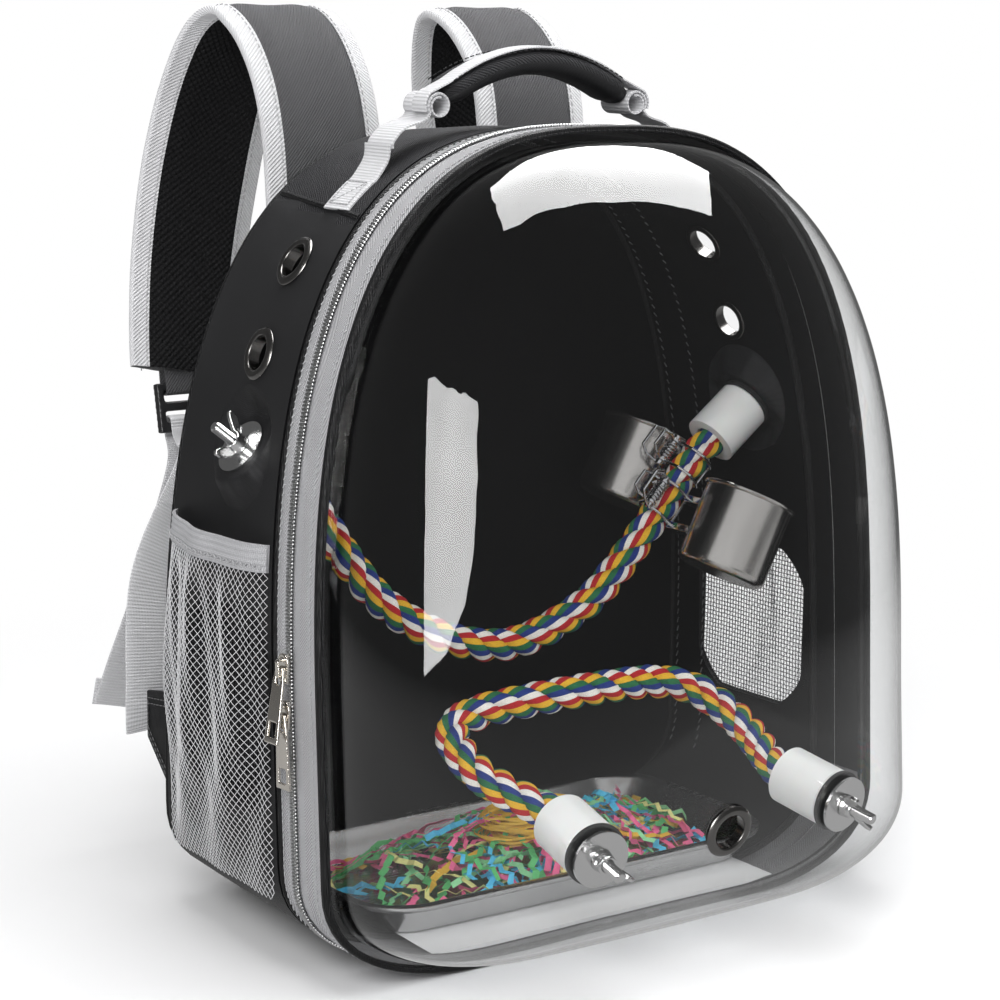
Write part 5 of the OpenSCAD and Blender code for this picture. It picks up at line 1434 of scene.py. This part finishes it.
def anchor(side, name):
    shape = [(REAR_Y + 0.4, 46), (REAR_Y + 0.4, 108), (REAR_Y + ANCHOR_REACH, ANCHOR_Z + 12),
             (REAR_Y + ANCHOR_REACH, ANCHOR_Z - 13)]
    wing = prism("strap_anchor_" + name, shape, side * ANCHOR_X - 1.4, side * ANCHOR_X + 1.4, SIDE_BASIS)
    modify(wing, "BEVEL", width=0.9 * MM, segments=3)
    baked(wing)
    settle(wing, "carrier", BINDING, ["lower_anchors"] if side > 0 else [])
    for k in (2.5, 5.5):
        line = [(side * (ANCHOR_X + 1.5), y, z) for y, z in
                ((REAR_Y + 3, 50 + k), (REAR_Y + ANCHOR_REACH - 2, ANCHOR_Z - 13 + k),
                 (REAR_Y + ANCHOR_REACH - 2, ANCHOR_Z + 11 - k), (REAR_Y + 3, 105 - k))]
        stitches(f"anchor_stitches_{name}_{int(k)}", even(np.array(line), 2), (side, 0, 0), "carrier",
                 DARK_THREAD)


for side, name in SIDES:
    strap(side, name)
    strap_webbing(side, name)
    anchor(side, name)

# ---- Handle --------------------------------------------------------------------------------------

HANDLE_WEBBING_W = 23
STRIP_W, STRIP_SET = 12.5, 5
HANDLE_HALF, HANDLE_Y, FOLD_Z, END_Z, RISE, FOLD_X, ROLL_R = 54, 5, 384, 409, 17, 85.25, 6.5


def handle():
    arch = np.array([(t * HANDLE_HALF, HANDLE_Y, END_Z + RISE * (1 - t * t)) for t in np.linspace(-1, 1, 49)])
    section = [oval(6.4, 12.8, 2.6, 2 * math.pi * i / 40) for i in range(40)]
    t, n = carried(arch, (0, 0, 1))
    b = np.cross(n, t)
    rows = []
    for i in range(len(arch)):
        pull = 1 - 0.28 * ease(1 - (1 - abs(i - 24) / 24) / 0.12)
        rows.append([arch[i] + x * pull * n[i] + y * pull * b[i] for x, y in section])
    pad = grid("handle_grip", rows, around=True, caps=True)
    for face in pad.data.polygons:
        x, z = face.center.x / MM, face.center.z / MM
        face.material_index = 0 if z > END_Z + RISE * (1 - (x / HANDLE_HALF) ** 2) else 1
    settle(pad, "handle", [TOP_TWILL, BLACK], ["handle_pad"])
    for s in (-1, 1):
        line = [arch[i] + 5.9 * n[i] + s * 11.2 * b[i] for i in range(2, 47)]
        stitches("handle_stitches_" + ("front" if s < 0 else "rear"), line, [n[i] for i in range(2, 47)],
                 "handle", BLACK_THREAD)
    slope_angle = math.atan(2 * RISE / HANDLE_HALF)
    cx = HANDLE_HALF + (ROLL_R + 0.4) * math.cos(slope_angle)
    cz = END_Z - (ROLL_R + 0.4) * math.sin(slope_angle)

    def roll_point(r, angle):
        return cx + r * math.cos(math.radians(angle)), cz + r * math.sin(math.radians(angle))

    pieces = []
    for s in (-1, 1):
        standing = [(FOLD_X + 1, FOLD_Z + 1.5), (FOLD_X + 0.4, FOLD_Z + 5), (FOLD_X - 6, FOLD_Z + 11),
                    (cx + 9, cz - 7)]
        standing += [roll_point(6.4 - 0.0046 * (angle + 35), angle) for angle in range(-35, 480, 20)]
        path = smooth([(s * x, HANDLE_Y, z) for x, z in standing], 4)
        pieces.append(sweep("standing", path, flat_tape(1.5, HANDLE_WEBBING_W), (-s, 0, 0)))
    over = [(x, END_Z + RISE * (1 - (x / HANDLE_HALF) ** 2) + 7.25) for x in (0, 16, 32, 44)]
    over += [(HANDLE_HALF - 2, END_Z + 8.4)]
    over += [roll_point(8.0, angle) for angle in (80, 45, 10, -20)]
    y = HANDLE_Y - STRIP_SET
    path = smooth([(-x, y, z) for x, z in over[:0:-1]] + [(x, y, z) for x, z in over], 5)
    pieces.append(sweep("over", path, flat_tape(1.3, STRIP_W), (0, 0, 1)))
    strip = join("handle_strip", pieces)
    settle(strip, "handle", WEBBING, ["handle_webbing"])
    ends = []
    for s in (-1, 1):
        line = []
        for x in (FOLD_X + 25, FOLD_X + 21, FOLD_X + 17, FOLD_X + 13, FOLD_X + 9):
            z = side_z(x, HANDLE_Y)
            line.append(np.array([x, HANDLE_Y, z]) + 1.3 * side_normal(HANDLE_Y, z))
        line.append(np.array([FOLD_X + 3.7, HANDLE_Y, FOLD_Z - 4]))
        line.append(np.array([FOLD_X + 2.75, HANDLE_Y, FOLD_Z + 3.5]))
        line = smooth([p * np.array([s, 1, 1]) for p in line], 6)
        ends.append(sweep("t", line, flat_tape(1.5, HANDLE_WEBBING_W), (0, 0, 1)))
        seam_line = []
        for beyond, y in ((23, 13), (12, 13), (12, -3), (23, -3), (23, 13), (12, -3)):
            z = side_z(FOLD_X + beyond, HANDLE_Y)
            out = side_normal(HANDLE_Y, z) * np.array([s, 1, 1])
            seam_line.append(np.array([s * (FOLD_X + beyond), y, z]) + 2.2 * out)
        stitches("handle_tab_stitches_" + ("left" if s < 0 else "right"), even(np.array(seam_line), 1.5),
                 (s * 0.5, 0, 0.85), "carrier", THREAD, pitch=2.8)
    settle(join("handle_anchors", ends), "carrier", WEBBING, ["handle_tabs"])


handle()

# ---- Back padding --------------------------------------------------------------------------------

def back_pad():
    """Stuffed back padding, filled out by a short cloth simulation."""
    mesh = frame["nodes"]["back_padding"].data.copy()
    mesh.materials.clear()
    pad = placed("back_cushion", mesh)
    for v in mesh.vertices:
        depth = v.co.y - REAR_Y * MM
        v.co.y = REAR_Y * MM + depth * 0.86
        v.co.x *= 0.985
    modify(pad, "REMESH", mode="VOXEL", voxel_size=0.005)
    baked(pad)
    start = np.array([v.co[:] for v in pad.data.vertices])
    group = pad.vertex_groups.new(name="sewn")
    group.add([i for i in range(len(start)) if start[i, 1] < (REAR_Y + 3) * MM], 1.0, "REPLACE")
    cloth = pad.modifiers.new("cloth", "CLOTH")
    cloth.settings.vertex_group_mass = "sewn"
    cloth.settings.use_pressure = True
    cloth.settings.uniform_pressure_force = 4
    cloth.settings.effector_weights.gravity = 0
    cloth.settings.quality = 5
    for f in range(1, 21):
        bpy.context.scene.frame_set(f)
    baked(pad)
    bpy.context.scene.frame_set(1)
    now = np.array([v.co[:] for v in pad.data.vertices])
    if len(now) == len(start):
        move = now - start
        size = np.linalg.norm(move, axis=1)
        move *= np.minimum(1, 0.005 / np.maximum(size, 1e-9))[:, None]
        goal = start + move
        goal[:, 1] = np.maximum(goal[:, 1], (REAR_Y + 0.2) * MM)
        for v, p in zip(pad.data.vertices, goal):
            v.co = p
    modify(pad, "SUBSURF", levels=1, render_levels=1)
    baked(pad)
    lay_flat(pad.data, pad.data.uv_layers.new(name="flat"))
    settle(pad, "carrier", AIR_MESH, ["back_padding"], sharp=180)


back_pad()

# ---- Metal and plastic pieces --------------------------------------------------------------------

for level in ("upper", "lower"):
    for _, name in SIDES:
        soften(f"{level}_wing_nut_{name}", f"{level}_nut_{name}", ZINC, 0.42, 3)
for kind in ("frame", "jaw", "spring"):
    for cup in ("far", "near"):
        soften(f"clip_{kind}_{cup}", "jaw_" + cup if kind == "jaw" else "carrier", CHROME, 0.34, 2)
for node, body in (("zip_slider_", "slider_"), ("pull_tab_", "tab_")):
    for level in ("upper", "lower"):
        soften(node + level, body + level, NICKEL, 0.34, 2)
soften("ladder_locks", "carrier", PLASTIC, 0.7, 2)

RING_IN, RING_OUT = 8.5, 13


def eyelet(name, places, thickness, body, node):
    """Turned metal eyelets, rolled over both faces of the wall."""
    profile = smooth([(RING_IN, -thickness - 1.4, 0), (RING_IN + 1, -thickness - 1.5, 0),
                      (RING_OUT - 1.5, -thickness - 1.2, 0), (RING_OUT - 1.5, -thickness - 0.4, 0),
                      (RING_IN + 1, -thickness - 0.3, 0), (RING_IN + 0.9, 0.3, 0), (RING_OUT - 0.2, 0.3, 0),
                      (RING_OUT, 0.8, 0), (RING_OUT - 1.4, 1.9, 0), (RING_IN + 1.5, 2.1, 0),
                      (RING_IN + 0.2, 1.5, 0), (RING_IN, 0.3, 0), (RING_IN, -thickness - 1.4, 0)], 4)[:-1]
    parts = []
    for point, n in places:
        rows = [[(r * math.cos(a), r * math.sin(a), z) for r, z, _ in profile]
                for a in np.linspace(0, 2 * math.pi, 97)[:-1]]
        ring_piece = grid(name, rows, around=True, along=True)
        ring_piece.data.transform(facing(point, n))
        parts.append(ring_piece)
    settle(join(name, parts), body, GUNMETAL, [node], sharp=60)


side_places = [on_side(side, RING_Y, z) for side, _ in SIDES for z in (RING_LOW_Z, RING_HIGH_Z)]
eyelet("side_eyelets", side_places, WALL + 0.6, "carrier", "side_vent_rings")
eyelet("dome_eyelet", [dome_place(0)], DOME_T + 1, "door", "dome_vent_ring")

KEPT = {"base_board": BOARD, "upper_caps": CAP,
        "lower_caps": CAP, "upper_rubber_rings": RUBBER, "lower_rubber_rings": RUBBER, "upper_washers": ZINC,
        "lower_washers": ZINC, "cup_far": CUP, "cup_near": CUP}
for key, material in KEPT.items():
    node = frame["nodes"][key]
    node.data.materials.clear()
    node.data.materials.append(material)

# ---- Floor, backdrop and light -------------------------------------------------------------------

def ray_kinds(tree):
    """1 or 0 each: bounced off a dull surface, off a shiny one, and passed more than two clear skins."""
    path = tree.nodes.new("ShaderNodeLightPath")

    def step(socket, least):
        n = tree.nodes.new("ShaderNodeMath")
        n.operation = "GREATER_THAN"
        tree.links.new(path.outputs[socket], n.inputs[0])
        n.inputs[1].default_value = least
        return n.outputs[0]

    return step("Diffuse Depth", 0.5), step("Glossy Depth", 0.5), step("Transmission Depth", 2.5)


def floor():
    """Pale floor that catches the soft shadow and turns plain white further out."""
    s = Shader("floor", (0.88, 0.88, 0.885), 0.9, specular=0.05)
    out = s.tree.nodes["Material Output"]
    apart = s.node("SeparateXYZ", Vector=s.node("NewGeometry").outputs["Position"])
    x = s.math("POWER", apart.outputs[0], 2.0)
    y = s.math("POWER", apart.outputs[1], 2.0)
    far = s.math("SQRT", s.math("ADD", x, y))
    share = s.node("MapRange", Value=far, From_Min=0.30, From_Max=0.75)
    share.interpolation_type = "SMOOTHSTEP"
    dull, shiny, _ = ray_kinds(s.tree)
    edge = s.node("MapRange", Value=far, From_Min=0.7, From_Max=1.15, To_Min=0.46, To_Max=0.12)
    strength = s.math("MAXIMUM", edge.outputs[0], s.math("SUBTRACT", 1.0, shiny))
    glow = s.node("Emission", Color=(1, 1, 1, 1), Strength=strength)
    choice = s.tree.nodes.new("ShaderNodeMixShader")
    white = s.math("MULTIPLY", s.math("MAXIMUM", share.outputs[0], shiny), s.math("SUBTRACT", 1.0, dull))
    s.put(choice, 0, white)
    s.put(choice, 1, s.surface.outputs[0])
    s.put(choice, 2, glow.outputs[0])
    s.put(out, "Surface", choice.outputs[0])
    obj = new_object("floor", [(-6, -6, 0), (6, -6, 0), (6, 6, 0), (-6, 6, 0)], [(0, 1, 2, 3)], metres=True)
    obj.data.materials.append(s.material)


def world():
    """White backdrop, and dimmer white surroundings for light and for reflections."""
    w = bpy.data.worlds.new("studio")
    w.use_nodes = True
    tree = w.node_tree
    tree.nodes.clear()
    out = tree.nodes.new("ShaderNodeOutputWorld")

    def light(strength):
        n = tree.nodes.new("ShaderNodeBackground")
        n.inputs[0].default_value = (1, 1, 1, 1)
        n.inputs[1].default_value = strength
        return n.outputs[0]

    def choose(factor, first, second):
        n = tree.nodes.new("ShaderNodeMixShader")
        for i, socket in enumerate((factor, first, second)):
            tree.links.new(socket, n.inputs[i])
        return n.outputs[0]

    dull, shiny, deep = ray_kinds(tree)
    reflected = choose(deep, light(0.12), light(0.6))
    straight = choose(shiny, light(1.0), reflected)
    tree.links.new(choose(dull, straight, light(0.42)), out.inputs[0])
    bpy.context.scene.world = w


def softbox(name, at, look, size, watts):
    """Lamp that lights dull surfaces but is not seen in shiny or clear ones."""
    data = bpy.data.lights.new(name, "AREA")
    data.shape = "RECTANGLE"
    data.size, data.size_y = size
    data.energy = watts
    lamp = placed(name, data)
    lamp.visible_glossy = False
    lamp.visible_transmission = False
    aim = (Vector(look) - Vector(at)).normalized()
    lamp.matrix_world = Matrix.Translation(at) @ aim.to_track_quat("-Z", "Y").to_matrix().to_4x4()


# Photograph pixels, of 1000, of the two bright softbox reflections on the clear dome, left to right
TOP_GLINT = ([(489, 189), (524, 163), (568, 150), (625, 147), (669, 153), (709, 172)],
             [(504, 231), (546, 211), (590, 203), (643, 202), (680, 207), (712, 216)])
SIDE_GLINT = ([(428, 376), (426, 440), (425, 510), (424, 590), (424, 676)],
              [(478, 402), (477, 450), (476, 520), (468, 590), (446, 655)])
PHOTO_MIDDLE = 500
PIXELS_PER_UNIT = 2 * PHOTO_MIDDLE * camera_data.lens / camera_data.sensor_width
GLINT, GLINT_REACH = 15.0, 0.9


def glint_card(name, edges):
    """Bright card that the camera sees only as the reflection that fills a part of the dome."""
    tree = BVHTree.FromObject(bpy.data.objects["dome_shell"], bpy.context.evaluated_depsgraph_get())

    def seen(x, y):
        ray = AHEAD * PIXELS_PER_UNIT + camera_x * (x - PHOTO_MIDDLE) - camera_y * (y - PHOTO_MIDDLE)
        return tree.ray_cast(EYE, ray.normalized())[0], ray.normalized()

    first = smooth([(x, y, 0) for x, y in edges[0]], 5)
    second = smooth([(x, y, 0) for x, y in edges[1]], 5)
    rows = []
    for t in np.linspace(0, 1, 9):
        row = []
        for a, b in zip(first, second):
            x, y = mix(a[0], b[0], t), mix(a[1], b[1], t)
            across = seen(x + 5, y)[0] - seen(x - 5, y)[0]
            down = seen(x, y + 5)[0] - seen(x, y - 5)[0]
            n = down.cross(across).normalized()
            point, ray = seen(x, y)
            row.append(list((point + (ray - 2 * ray.dot(n) * n) * GLINT_REACH) / MM))
        rows.append(row)
    card = grid(name, rows)
    s = Shader(name, (1, 1, 1), 1.0)
    edge = s.node("MapRange", Value=s.noise(s.where(False), 3.0, 1.0), To_Min=GLINT * 0.75,
                  To_Max=GLINT * 1.15)
    glow = s.node("Emission", Color=(1, 1, 1, 1), Strength=edge.outputs[0])
    s.put(s.tree.nodes["Material Output"], "Surface", glow.outputs[0])
    card.data.materials.append(s.material)
    for rays in ("camera", "diffuse", "transmission", "volume_scatter", "shadow"):
        setattr(card, "visible_" + rays, False)


floor()
world()
glint_card("top_glint", TOP_GLINT)
glint_card("side_glint", SIDE_GLINT)
softbox("key", (-1.7, -1.5, 1.7), (0, 0, 0.2), (1.2, 1.2), 38)
softbox("overhead", (0.0, -0.2, 2.4), (0, 0, 0.1), (1.8, 1.4), 34)
softbox("right", (1.9, -1.2, 1.0), (0, 0, 0.2), (0.7, 1.5), 18)

bpy.context.scene.view_settings.view_transform = "Standard"
